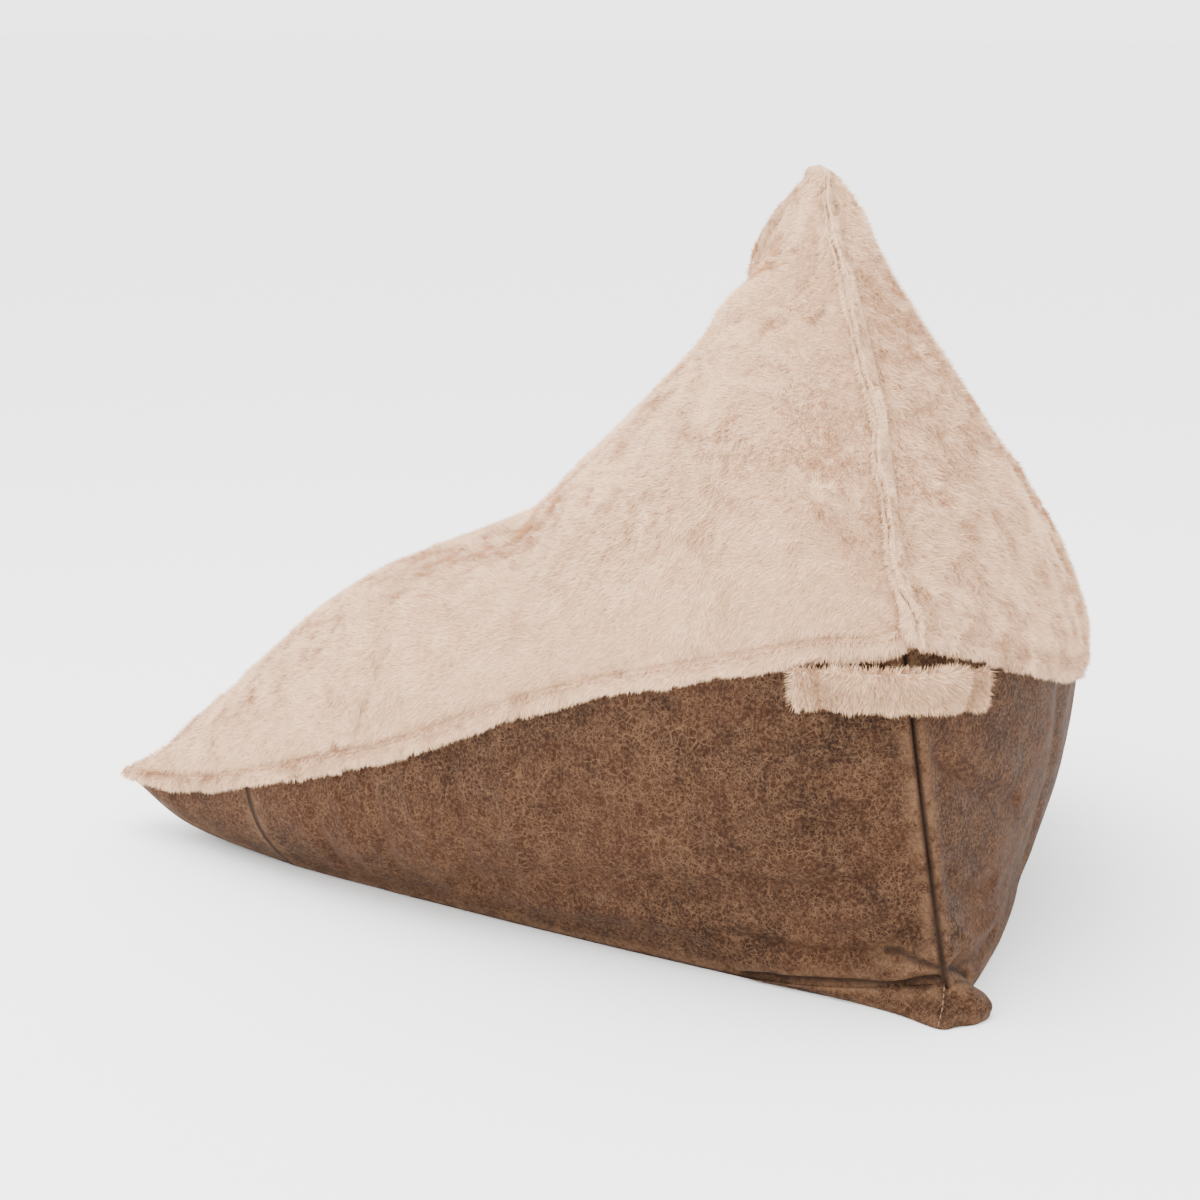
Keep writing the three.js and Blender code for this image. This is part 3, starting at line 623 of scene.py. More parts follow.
def worn_hide_group():
    """Colour, roughness and height of a crackled pull-up leather: broad dark and pale patches, a mottled
    middle scale, and a fine net of pale scuffs that comes and goes. It is paler at a sewn edge, and painted
    shade darkens the crease of a seam or of a sharp fold."""
    tree, start, end = new_group(
        "Worn hide",
        {
            "Vector": None, "Seam distance": 0.1, "Ground": (0.2, 0.1, 0.06, 1), "Pale": (0.4, 0.25, 0.16, 1),
            "Dark": (0.08, 0.04, 0.025, 1), "Crackle": 1.0,
        },
        {"Color": "Color", "Roughness": "Float", "Height": "Float"},
    )
    place, seam, ground, pale, dark, crackle = (start.outputs[i] for i in range(6))
    drift = node(tree, "ShaderNodeTexNoise", {"Vector": place, "Scale": 14.0, "Detail": 3.0}).outputs["Color"]
    little = (0.012, 0.012, 0.012)
    pushed = node(tree, "ShaderNodeVectorMath", {0: drift, 1: little}, operation="MULTIPLY").outputs[0]
    bent = node(tree, "ShaderNodeVectorMath", {0: place, 1: pushed}, operation="ADD").outputs[0]
    patches = span(tree, noise_node(tree, place, 4.2, 8.0, 0.62, 0.4), 0.36, 0.62)
    mottle = span(tree, noise_node(tree, bent, 26.0, 6.0, 0.72), 0.35, 0.65)
    speckle = span(tree, noise_node(tree, bent, 210.0, 5.0, 0.75), 0.42, 0.66)
    scuffs = None
    for scale, width in ((80.0, 0.06), (140.0, 0.085), (240.0, 0.12)):
        inputs = {"Vector": bent, "Scale": scale, "Randomness": 1.0}
        cells = node(tree, "ShaderNodeTexVoronoi", inputs, feature="DISTANCE_TO_EDGE").outputs["Distance"]
        gate = span(tree, noise_node(tree, place, scale / 6, 4.0, 0.7), 0.45, 0.62)
        net = product(tree, span(tree, cells, 0.0, width, 1.0, 0.0), gate)
        scuffs = net if scuffs is None else maths(tree, "MAXIMUM", scuffs, net)
    scuffs = product(tree, scuffs, crackle)
    edge = span(tree, seam, 0.006, 0.03, 1.0, 0.0)
    edge = product(tree, edge, span(tree, noise_node(tree, place, 45.0, 5.0, 0.7), 0.35, 0.6))
    body = dark
    for mask, share, colour in (
        (patches, 0.85, ground), (mottle, 0.45, ground), (speckle, 0.3, pale), (scuffs, 0.38, pale),
        (edge, 0.35, pale),
    ):
        body = mixed(tree, product(tree, mask, share), body, colour)
    # Painted shade in the crease of a seam or of a sharp fold.
    crevice = span(tree, seam, 0.001, 0.0085, 0.92, 0.0)
    body = mixed(tree, crevice, body, (0.02, 0.011, 0.007, 1))
    rough = maths(tree, "ADD", span(tree, mottle, 0, 1, 0.62, 0.74), product(tree, scuffs, 0.12))
    worn = maths(tree, "SUBTRACT", product(tree, mottle, 0.5), product(tree, scuffs, 0.45))
    height = maths(tree, "ADD", product(tree, speckle, 0.35), worn)
    return put_out(tree, end, Color=body, Roughness=rough, Height=height)


def nap_group():
    """Colour and height of the plush between its hairs: patches where the nap lies the other way, and the
    grain of the roots."""
    inputs = {"Vector": None, "Light": (0.7, 0.6, 0.5, 1), "Shade": (0.5, 0.4, 0.3, 1)}
    tree, start, end = new_group("Nap", inputs, {"Color": "Color", "Height": "Float"})
    place, light, shade = (start.outputs[i] for i in range(3))
    patches = span(tree, noise_node(tree, place, 9.0, 5.0, 0.6), 0.35, 0.65)
    grain = noise_node(tree, place, 320.0, 3.0, 0.6)
    amount = maths(tree, "ADD", product(tree, patches, 0.5), product(tree, grain, 0.5))
    return put_out(tree, end, Color=mixed(tree, amount, shade, light), Height=grain)


def cloth_group():
    """Height and shade of a plain weave: two waves at right angles, thread over thread."""
    inputs = {"Vector": None, "Threads per metre": 900.0}
    tree, start, end = new_group("Plain weave", inputs, {"Shade": "Float", "Height": "Float"})
    wave = {"Vector": start.outputs["Vector"], "Scale": start.outputs["Threads per metre"], "Distortion": 0.4}
    threads = [node(tree, "ShaderNodeTexWave", wave, bands_direction=axis).outputs["Fac"] for axis in ("X", "Y")]
    weave = maths(tree, "MAXIMUM", *threads)
    return put_out(tree, end, Shade=span(tree, weave, 0, 1, 0.75, 1.0), Height=weave)


def blank_material(name, roughness, **plain):
    """A material with one Principled shader, its plain values set on its own sockets."""
    made = bpy.data.materials.new(name)
    made.use_nodes = True
    shader = made.node_tree.nodes["Principled BSDF"]
    shader.inputs["Roughness"].default_value = roughness
    for key, value in plain.items():
        shader.inputs[key.replace("_", " ")].default_value = value
    return made, made.node_tree, shader


def shared_group(tree, name, make):
    """A node that holds a shared group, fed with Object coordinates. The group is made when first needed."""
    group = node(tree, "ShaderNodeGroup", node_tree=bpy.data.node_groups.get(name) or make())
    tree.links.new(node(tree, "ShaderNodeTexCoord").outputs["Object"], group.inputs["Vector"])
    return group


def dimmed(colour, share):
    """A colour times one share or three, with full alpha."""
    return (*[float(c) for c in np.array(colour) * share], 1)


def coat(tree, shader, colour, height, distance, strength=1.0):
    """Links a colour to the shader, and a height, in shares of the distance in metres, as a bump."""
    tree.links.new(colour, shader.inputs["Base Color"])
    bump = node(tree, "ShaderNodeBump", {"Height": height, "Distance": distance, "Strength": strength})
    tree.links.new(bump.outputs["Normal"], shader.inputs["Normal"])


def hide_material(looks):
    """Worn leather, in Object coordinates, darkened with painted shade in the crease of a seam, and paler beside
    it.
    """
    made, tree, shader = blank_material("Worn leather", 0.7, Specular_IOR_Level=0.06)
    group = shared_group(tree, "Worn hide", worn_hide_group)
    seam = node(tree, "ShaderNodeAttribute", attribute_name="seam").outputs["Fac"]
    tree.links.new(seam, group.inputs["Seam distance"])
    for key in ("Ground", "Pale", "Dark"):
        group.inputs[key].default_value = dimmed(getattr(looks, f"leather_{key.lower()}"), LEATHER_DEPTH)
    tree.links.new(group.outputs["Roughness"], shader.inputs["Roughness"])
    coat(tree, shader, group.outputs["Color"], group.outputs["Height"], 0.0009, 0.7)
    return made


def plush_material(looks):
    """The backing of the plush, seen between its hairs."""
    made, tree, shader = blank_material("Plush backing", 0.95, Specular_IOR_Level=0.1)
    group = shared_group(tree, "Nap", nap_group)
    group.inputs["Light"].default_value = dimmed(looks.plush_colour, 0.86)
    group.inputs["Shade"].default_value = dimmed(looks.plush_colour, (0.6, 0.52, 0.45))
    coat(tree, shader, group.outputs["Color"], group.outputs["Height"], 0.002)
    return made


def hair_materials(looks):
    """Hairs from the warm, dark tone of a turned nap, which also serves as painted shade in crevices, to the pale
    tone of the tips, each one plain colour.
    """
    made = []
    for i in range(TONES):
        share = i / (TONES - 1)
        tint = [0.54 + 0.58 * share, 0.475 + 0.64 * share, 0.4 + 0.7 * share]
        colour = [min(c * t, 0.95) for c, t in zip(looks.plush_colour, tint)]
        plain = {"Specular_IOR_Level": 0.15, "Sheen_Weight": 0.15, "Base_Color": (*colour, 1)}
        made.append(blank_material(f"Plush hair {i + 1}", 0.85, **plain)[0])
    return made


def cloth_material(name, colour, threads):
    """Woven cloth of one colour, in Object coordinates."""
    made, tree, shader = blank_material(name, 0.9, Specular_IOR_Level=0.2)
    group = shared_group(tree, "Plain weave", cloth_group)
    group.inputs["Threads per metre"].default_value = threads
    # Painted shade: darker where the weave dips between threads.
    tint = mixed(tree, group.outputs["Shade"], dimmed(colour, 0.6), dimmed(colour, 1))
    coat(tree, shader, tint, group.outputs["Height"], 0.0004)
    return made


def speckled_material(name, colour, scale, roughness, metallic=0.0):
    """Moulded plastic, foamed beads or tumbled metal: one colour with fine cells in its height and shade."""
    made, tree, shader = blank_material(name, roughness, Metallic=metallic)
    place = node(tree, "ShaderNodeTexCoord").outputs["Object"]
    cells = node(tree, "ShaderNodeTexVoronoi", {"Vector": place, "Scale": scale}).outputs["Distance"]
    # Painted shade: darker towards the cells' edges, where the bumps dip.
    shade = span(tree, cells, 0.0, 0.9, 1.0, 0.72)
    tint = mixed(tree, shade, dimmed(colour, 0.6), dimmed(colour, 1))
    coat(tree, shader, tint, maths(tree, "SUBTRACT", 1.0, cells), 0.2 / scale)
    return made


# ---- the pieces ----------------------------------------------------------------------------------------------


def surface_normals(surface, u, v, outward, step=0.02):
    """Outward unit normals of a surface: the cross product of its two central differences."""
    du = surface(u + step, v) - surface(u - step, v)
    dv = surface(u, np.clip(v + step, -1, 1)) - surface(u, np.clip(v - step, -1, 1))
    return unit(np.cross(du, dv)) * outward


def finer(count):
    return count


def lines(surface, rows, scale=1.0):
    """Folds as (line on the surface, height, width), from rows of (parameter pairs, height, width)."""
    return [(on_surface(surface, pairs), scale * height, width) for pairs, height, width in rows]


def soften(panel, folds, seams=(), sharp=()):
    """Broad and fine dents by three scales of noise, and folds as ridges and grooves along lines, all fading
    to nothing at the panel's edges. seams are (edge distance grid, height, width) of the puffed lips beside a
    sewn edge, and sharp folds fade only at the edge itself."""
    p = panel.points
    relief = 0.0035 * noise(p, 0.17, 11) + 0.0016 * noise(p, 0.06, 12) + 0.0006 * noise(p, 0.022, 13)
    for line, height, width in folds:
        relief = relief + ridge(p, line, height, width)
    relief = relief * smoothstep(np.minimum(panel.to_u_edge, panel.to_v_edge), 0.001, 0.045)
    near = smoothstep(np.minimum(panel.to_u_edge, panel.to_v_edge), 0.0, 0.008)
    for line, height, width in sharp:
        relief = relief + ridge(p, line, height, width) * near
        # A sharp groove's distance is kept for the painted shade along it; a shallow groove gets a fainter band.
        if height < 0:
            shallow = 0.0035 if height > -0.006 else 0
            panel.crease = np.minimum(panel.crease, line_distance(p, line) + 0.0012 + shallow)
    for distance, height, width in seams:
        wave = 1 + 0.35 * noise(p, 0.05, 17)
        relief = relief + wave * height * (distance / width) * np.exp(1 - distance / width)
    panel.raise_by(relief)
    return panel


def front_panel():
    """The big plush panel, with the folds of its limp end, a small wrinkle by the seam and creases by the toe."""
    us, vs = np.linspace(0, APEX, finer(330)), np.linspace(-1, 1, finer(171))
    panel = Panel(front_surface, us, vs, -1, TOE_POLE, APEX_POLE)
    folds = [
        ([(10.3, 0.06), (11.4, 0.32), (12.1, 0.47), (12.9, 0.6), (13.7, 0.78)], -0.011, 0.014),
        ([(10.9, 0.02), (11.9, 0.24), (12.6, 0.4), (13.5, 0.55), (14.3, 0.7)], 0.007, 0.02),
        ([(9.6, 0.2), (10.9, 0.42), (11.8, 0.62)], 0.006, 0.022),
        ([(10.4, -0.1), (11.6, -0.35), (13.0, -0.62)], -0.005, 0.014),
        ([(3.3, -0.9), (3.7, -0.75), (4.1, -0.5)], -0.004, 0.009),
        ([(1.6, -0.5), (2.1, 0.0), (1.7, 0.6)], -0.002, 0.012),
    ]
    sharp = [
        ([(11.95, 0.68), (12.1, 0.7), (12.35, 0.745)], -0.005, 0.006),
        ([(3.72, 0.93), (3.98, 0.77), (4.25, 0.58)], -0.004, 0.006),
    ]
    rear = np.where(panel.u > CORNER, panel.to_v_edge, 1.0)
    return soften(panel, lines(front_surface, folds), [(rear, 0.006, 0.014)], lines(front_surface, sharp))


def back_panel():
    """The plush panel behind the two rear seams, with soft upright folds over its hem."""
    us, vs = np.linspace(CORNER, APEX, finer(200)), np.linspace(-1, 1, finer(171))
    panel = Panel(back_surface, us, vs, 1, None, APEX_POLE)
    folds = [
        ([(9.3, s), (10.2, s + lean), (11.1, s + 2 * lean)], height, 0.017)
        for s, lean, height in (
            (0.62, -0.03, -0.004), (0.42, 0.02, 0.004), (0.18, 0.03, -0.005), (-0.05, 0.02, 0.004),
            (-0.3, 0.03, -0.005), (-0.55, 0.02, 0.004), (-0.78, 0.04, -0.004),
        )
    ]
    return soften(panel, lines(back_surface, folds), [(panel.to_v_edge, 0.004, 0.014)])


def side_panel(side):
    """A leather side, with diagonal wrinkles by the rear seam, a long sag fold, and short folds by the toe."""
    surface = partial(side_surface, side)
    us, vs = np.linspace(TOE_SEAM, CORNER, finer(300)), np.linspace(0, 1, finer(121))
    panel = Panel(surface, us, vs, -side)
    folds = [
        ([(8.86, 0.3), (8.4, 0.44), (7.8, 0.52)], -0.004, 0.012),
        ([(8.9, 0.5), (8.45, 0.62), (7.9, 0.67), (7.2, 0.66)], -0.005, 0.011),
        ([(8.92, 0.58), (8.5, 0.7), (8.0, 0.76)], 0.005, 0.012),
        ([(8.93, 0.72), (8.5, 0.83), (7.9, 0.87), (7.0, 0.85)], -0.006, 0.01),
        ([(8.94, 0.8), (8.4, 0.93), (7.6, 0.97)], 0.006, 0.013),
        ([(8.3, 0.12), (8.15, 0.3), (7.9, 0.48)], -0.003, 0.014),
        ([(6.9, 0.1), (6.75, 0.35), (6.3, 0.6)], -0.003, 0.02),
        ([(7.4, 0.75), (6.4, 0.7), (5.3, 0.72), (4.4, 0.8)], -0.004, 0.018),
        ([(7.2, 0.86), (6.2, 0.83), (5.2, 0.86)], 0.004, 0.016),
    ]
    folds += [
        ([(s, 0.06), (s + 0.08, 0.35), (s + drift, 0.8)], height, 0.011)
        for s, drift, height in (
            (3.0, 0.1, -0.0035), (3.35, 0.15, 0.003), (3.7, 0.05, -0.0035), (4.1, 0.2, 0.003), (4.5, 0.1, -0.003),
            (5.0, 0.2, 0.003), (5.5, 0.1, -0.003),
        )
    ]
    sharp = [
        ([(7.2, 0.985), (7.8, 0.955), (8.4, 0.925), (8.98, 0.89)], -0.009, 0.006),
        ([(7.2, 0.95), (7.8, 0.915), (8.4, 0.885), (8.98, 0.85)], 0.006, 0.011),
        ([(8.98, 0.86), (8.7, 0.83), (8.5, 0.84)], -0.006, 0.006),
    ]
    rear = np.where(panel.u > 5, panel.to_u_edge, 1.0)
    foot = np.where(panel.v > 0.5, panel.to_v_edge, 1.0)
    lips = [(rear, 0.0035, 0.007), (foot, 0.002, 0.01)]
    return soften(panel, lines(surface, folds, WRINKLE), lips, lines(surface, sharp))


def lower_back_panel():
    """The leather back, with creases that run in from both seams."""
    us, vs = np.linspace(0, 1, finer(121)), np.linspace(-1, 1, finer(241))
    panel = Panel(lower_back_surface, us, vs, -1)
    folds = [
        ([(0.3, 0.97), (0.42, 0.8), (0.45, 0.6)], -0.004, 0.012),
        ([(0.62, 0.97), (0.7, 0.85), (0.7, 0.7)], -0.005, 0.011),
        ([(0.75, 0.98), (0.82, 0.84), (0.8, 0.66)], 0.005, 0.012),
        ([(0.85, 0.97), (0.92, 0.8), (0.9, 0.6)], -0.005, 0.01),
        ([(0.35, -0.97), (0.5, -0.8), (0.5, -0.55)], -0.005, 0.013),
        ([(0.7, -0.97), (0.8, -0.82), (0.78, -0.6)], -0.005, 0.012),
        ([(0.1, 0.35), (0.4, 0.3), (0.7, 0.34)], -0.003, 0.02),
        ([(0.1, -0.1), (0.45, -0.14), (0.75, -0.08)], -0.003, 0.02),
        ([(0.8, 0.45), (0.86, 0.0), (0.8, -0.45)], -0.002, 0.03),
    ]
    sharp = [([(0.87, side * 0.985), (0.9, side * 0.9), (0.95, side * 0.82)], -0.007, 0.006) for side in (1, -1)]
    sharp += [([(0.82, side * 0.985), (0.84, side * 0.9), (0.89, side * 0.8)], 0.006, 0.011) for side in (1, -1)]
    foot = np.where(panel.u > 0.5, panel.to_u_edge, 1.0)
    lips = [(panel.to_v_edge, 0.007, 0.008), (foot, 0.002, 0.01)]
    return soften(panel, lines(lower_back_surface, folds, WRINKLE), lips, lines(lower_back_surface, sharp))


def base_panels():
    """The underside, and the two strips of it that wrap up round the toe."""
    under = Panel(base_surface, np.linspace(0, CORNER, finer(180)), np.linspace(-1, 1, finer(91)), 1, TOE_POLE)
    us, vs = np.linspace(0, TOE_SEAM, finer(60)), np.linspace(0, 1, finer(61))
    return [under, *(Panel(partial(side_surface, side), us, vs, -side, TOE_POLE) for side in (1, -1))]


def cut_slot(made, half_x, y, half_y, top):
    """Cuts a rectangle along X out of the part of a mesh that lies below a height, by four planes."""

    def cut(work):
        planes = [((half_x * s, 0, 0), (1, 0, 0)) for s in (-1, 1)]
        planes += [((0, y + half_y * s, 0), (0, 1, 0)) for s in (-1, 1)]
        for place, normal in planes:
            low = [v for v in work.verts if v.co.z < top]
            edges = {e for v in low for e in v.link_edges}
            faces = {f for v in low for f in v.link_faces}
            geometry = [*low, *edges, *faces]
            bmesh.ops.bisect_plane(work, geom=geometry, plane_co=place, plane_no=normal, dist=1e-6)
        inside = [
            f
            for f in work.faces
            for c in [f.calc_center_median()]
            if abs(c.x) < half_x and abs(c.y - y) < half_y and c.z < top
        ]
        bmesh.ops.delete(work, geom=inside, context="FACES")

    rework(made.data, cut)


def bag_inside(name, depth, low, top):
    """A closed bag that lies a given depth inside the cover: every vertex of the cover's surfaces moves in
    along its normal, by the depth over the cosine to its steepest face, and is held between two heights."""
    wide, hem, tall = np.linspace(-1, 1, 81), np.linspace(0, CORNER, 73), np.linspace(0, 1, 33)
    panels = [
        Panel(front_surface, np.linspace(0, APEX, 121), wide, -1, TOE_POLE, APEX_POLE),
        Panel(back_surface, np.linspace(CORNER, APEX, 49), wide, 1, None, APEX_POLE),
        Panel(lower_back_surface, tall, wide, -1),
        Panel(base_surface, hem, wide, 1, TOE_POLE),
        *(Panel(partial(side_surface, side), hem, tall, -side, TOE_POLE) for side in (1, -1)),
    ]
    vertices, faces, _ = joined(panels)
    made = new_object(name, vertices, faces, merge=0.0004)
    count = len(made.data.vertices)
    place, normal = np.zeros((2, count * 3), np.float32)
    made.data.vertices.foreach_get("co", place)
    made.data.vertex_normals.foreach_get("vector", normal)
    place, normal = place.reshape(-1, 3), normal.reshape(-1, 3)
    corners, owners = np.zeros(len(made.data.loops), np.int32), np.zeros(len(made.data.polygons), np.int32)
    faces_out = np.zeros(len(owners) * 3, np.float32)
    made.data.loops.foreach_get("vertex_index", corners)
    made.data.polygons.foreach_get("loop_total", owners)
    made.data.polygons.foreach_get("normal", faces_out)
    flattest = np.ones(count)
    facing = (normal[corners] * np.repeat(faces_out.reshape(-1, 3), owners, axis=0)).sum(-1)
    np.minimum.at(flattest, corners, facing)
    place = place - normal * (depth / np.clip(flattest, 0.4, 1))[:, None]
    place[:, 2] = np.clip(place[:, 2], low, top)
    made.data.vertices.foreach_set("co", place.ravel())
    made.data.update()
    return made


def flange_rope(edge, side, height):
    """The raw seam allowance that stands on a rear seam: two layers of plush side by side, with a cleft
    between them, carried up the seam and swaying with noise."""
    stations = np.linspace(CORNER + 0.05, APEX - 0.22, finer(240))
    path = along(edge, stations)
    near = np.full(stations.shape, 0.8 * side)
    front, back = front_surface(stations, near), back_surface(stations, near)
    tangent = unit(np.gradient(path, axis=0))
    out = path - (front + back) / 2
    out = unit(out - tangent * (out * tangent).sum(-1, keepdims=True))
    across = unit(np.cross(tangent, out))
    across = across * np.sign((across * (back - front)).sum())
    profile = np.array([
        (-0.0080, -0.004), (-0.0095, 0.004), (-0.0090, 0.013), (-0.0068, 0.0215), (-0.004, 0.0240),
        (-0.0015, 0.0220), (0.0, 0.0175), (0.0015, 0.0225), (0.0045, 0.0255), (0.0072, 0.0235),
        (0.0092, 0.014), (0.0095, 0.004), (0.0080, -0.004),
    ])
    tall = height * (1 + 0.12 * noise(path, 0.06, 21) + 0.05 * noise(path, 0.018, 22))[:, None]
    taper = np.clip(0.25 + (APEX - 0.22 - stations) * 0.4, 0, 1)[:, None]
    rise = profile[:, 1] * np.where(profile[:, 1] > 0, tall * taper, 1.0)
    sway = (0.006 + 0.0055 * noise(path, 0.08, 23) + 0.002 * noise(path, 0.025, 24))[:, None]
    lean = profile[:, 0] * (0.55 + 0.45 * taper) + sway * np.maximum(profile[:, 1], 0) / 0.02
    rings = path[:, None] + across[:, None] * lean[..., None] + out[:, None] * rise[..., None]
    tail = rings[:1] + np.array([0, 0, -0.017]) + out[:1, None] * 0.004
    # Distances round the profile for the pile: none at its foot and in the cleft, so the hairs there are shorter
    # and darkened with painted shade.
    shade = np.array([0, 0.002, 0.012, 0.03, 0.03, 0.008, 0, 0.008, 0.03, 0.03, 0.012, 0.002, 0])
    return Rope(closed_rings(np.concatenate([tail, rings])), shade)


def hem_rope(path, out):
    """The turned edge of the plush that hangs over the leather: a rounded lip, carried along the hem, whose
    lower edge waves and flares with noise."""
    tangent = unit(np.gradient(path, axis=0))
    down = unit(np.cross(tangent, out))
    down = np.where(down[:, 2:] > 0, -down, down)
    profile = np.array([
        (-0.006, -0.002), (-0.006, 0.0035), (-0.001, 0.0042), (0.0015, 0.0026), (0.0045, 0.0055), (0.0095, 0.0075),
        (0.0140, 0.0072), (0.0165, 0.0046), (0.0160, 0.0018), (0.0120, 0.0006), (0.004, -0.001),
    ])
    from_toe = smoothstep(np.linalg.norm(path - TOE_POLE, axis=-1), 0, 0.11)[:, None]
    size = (1 + 0.2 * noise(path, 0.045, 25) + 0.1 * noise(path, 0.014, 26))[:, None] * (0.35 + 0.65 * from_toe)
    drop = profile[:, 0] * np.where(profile[:, 0] > 0, size, 0.4 + 0.6 * from_toe)
    flare = (0.0018 * noise(path, 0.05, 27) + 0.0008 * noise(path, 0.016, 28))[:, None]
    lift = profile[:, 1] * (0.5 + 0.5 * from_toe) + np.maximum(flare, -0.001) * np.maximum(profile[:, 0], 0) / 0.01
    return Rope(tube(path, down, out, np.stack([drop, lift], -1)))


def side_hem(edge, side):
    """Path and outward directions of a side hem."""
    stations = np.linspace(0.12, CORNER - 0.04, finer(420))
    out = surface_normals(partial(side_surface, side), stations, np.full(stations.shape, 0.04), -side)
    path = np.vstack([TOE_POLE + np.array([side * 0.0005, -0.001, 0.002]), along(edge, stations)])
    return path, unit(np.vstack([out[:1] + np.array([0, -0.7, 0]), out]))


def back_hem():
    """Path and outward directions of the back hem."""
    s = np.linspace(-0.985, 0.985, finer(300))
    out = surface_normals(lower_back_surface, np.full(s.shape, 0.04), s, -1)
    return back_surface(np.full(s.shape, float(CORNER)), s), out


def evenly(path, spacing):
    """Fractional indices of points that lie evenly along a path."""
    run = np.concatenate([[0], np.cumsum(np.linalg.norm(np.diff(path, axis=0), axis=1))])
    count = max(int(run[-1] / spacing), 2)
    return np.interp((np.arange(count) + 0.5) * run[-1] / count, run, np.arange(len(path)))


def at(rows, index):
    """Rows of an array at fractional indices, straight between neighbours."""
    i = np.minimum(index.astype(int), len(rows) - 2)
    return mix(rows[i], rows[i + 1], (index - i)[:, None])


def stitches(name, place, way, out, length, radius):
    """Threads seen between two needle holes. Each is a six-sided tube of five rings, whose height is half a
    sine and whose ends dive into the cloth."""
    loops, sides = 5, 6
    share = np.linspace(-1, 1, loops)
    turn = np.arange(sides) * 2 * math.pi / sides
    thick = np.sqrt(1 - 0.75 * share**2)
    side = unit(np.cross(way, out))
    lengths = share[:, None] * np.ones(sides) * length / 2
    widths = thick[:, None] * np.cos(turn) * radius
    heights = thick[:, None] * np.sin(turn) * radius + (0.9 - 1.6 * share[:, None] ** 2) * radius
    rings = (
        place[:, None, None]
        + way[:, None, None] * lengths[..., None]
        + side[:, None, None] * widths[..., None]
        + out[:, None, None] * heights[..., None]
    )
    index = np.arange(len(place) * loops * sides).reshape(-1, loops, sides)
    nxt = np.roll(index, -1, axis=2)
    quads = np.stack([index[:, :-1], nxt[:, :-1], nxt[:, 1:], index[:, 1:]], -1).reshape(-1, 4).tolist()
    ends = np.concatenate([index[:, 0], index[:, -1, ::-1]])[:, ::-1].tolist()
    mesh = bpy.data.meshes.new(name)
    mesh.from_pydata(rings.reshape(-1, 3).tolist(), [], quads + ends)
    rework(mesh, face_outwards)
    mesh.polygons.foreach_set("use_smooth", [True] * len(mesh.polygons))
    return linked(name, mesh)


def wall_point(panels, x, y, z):
    """Where the ray from the axis towards (x, y) at a height meets the walls: the nearest grid point."""
    points = np.concatenate([panel.points.reshape(-1, 3) for panel in panels])
    ray, far = unit(np.array([x, y])), 9.0
    off = np.abs(points[:, 0] * ray[1] - points[:, 1] * ray[0])
    ahead = points[:, :2] @ ray > 0
    return points[np.argmin(np.where(ahead, np.hypot(off, points[:, 2] - z), far))]


def handle_path():
    """The strap round the rear corner: sewn flat on the side and on the back, and raised between, with its
    outward directions. A smooth curve through eight points."""
    walls = [
        Panel(partial(side_surface, 1), np.linspace(6, CORNER, 200), np.linspace(0, 0.5, 200), -1),
        Panel(lower_back_surface, np.linspace(0, 0.5, 200), np.linspace(0.5, 1, 200), -1),
    ]
    corner, half, up = LEFT_EDGE[CORNER], HANDLE_LENGTH / 2, np.array([0, 0, 1.0])
    height = corner[2] - HANDLE_DROP
    seam = wall_point(walls, corner[0], corner[1], height)
    side = unit(wall_point(walls, corner[0], corner[1] - half, height) - seam)
    back = unit(wall_point(walls, corner[0] - 0.8 * half, corner[1] + 0.6 * half, height - HANDLE_SLOPE) - seam)
    side_out, back_out = unit(np.cross(up, side)), unit(np.cross(back, up))
    corner_out = unit(side_out + back_out)
    shoulder = half - HANDLE_TAB
    rows = [(half, 0, 0), (shoulder, 0, 0), (0.6 * shoulder, 0.72, 0.15), (0.2 * shoulder, 1, 0.5)]
    points, outs = [], []
    for way, normal, line in ((side, side_out, rows), (back, back_out, rows[::-1])):
        for distance, rise, turn in line:
            out = unit(normal + (corner_out - normal) * turn)
            points.append(seam + way * distance + out * (0.003 + rise * HANDLE_RISE) + up * (rise * HANDLE_ARCH))
            outs.append(out)
    index = np.linspace(0, 7, finer(160))
    return along(np.array(points), index), unit(along(np.array(outs), index)), index


def strap_rope(path, out, index, width, thick, lift):
    """A flat strap with rounded edges: a superellipse carried along a path, lifted off it, and thinner where
    its ends are sewn down."""
    turn = np.linspace(0, 2 * math.pi, 41)[:-1]
    across = unit(np.cross(unit(np.gradient(path, axis=0)), out))
    plump = thick * (0.72 + 0.34 * smoothstep(index, 0.7, 2.0) * smoothstep(7 - index, 0.7, 2.0))
    slim = width * (1 - 0.07 * smoothstep(index, 1.2, 3.2) * smoothstep(7 - index, 1.2, 3.2))

    def bend(wave):
        return np.sign(wave) * np.abs(wave) ** 0.5

    a = slim[:, None] / 2 * bend(np.cos(turn))
    b = lift + plump[:, None] / 2 * (1 + bend(np.sin(turn)))
    # Distance from the two stitched shoulders, where the hairs are shorter and darkened with painted shade.
    shade = np.minimum(np.abs(index - 1), np.abs(index - 6))[:, None] * HANDLE_TAB
    return Rope(tube(path, across, out, np.stack([a, b], -1)), shade)


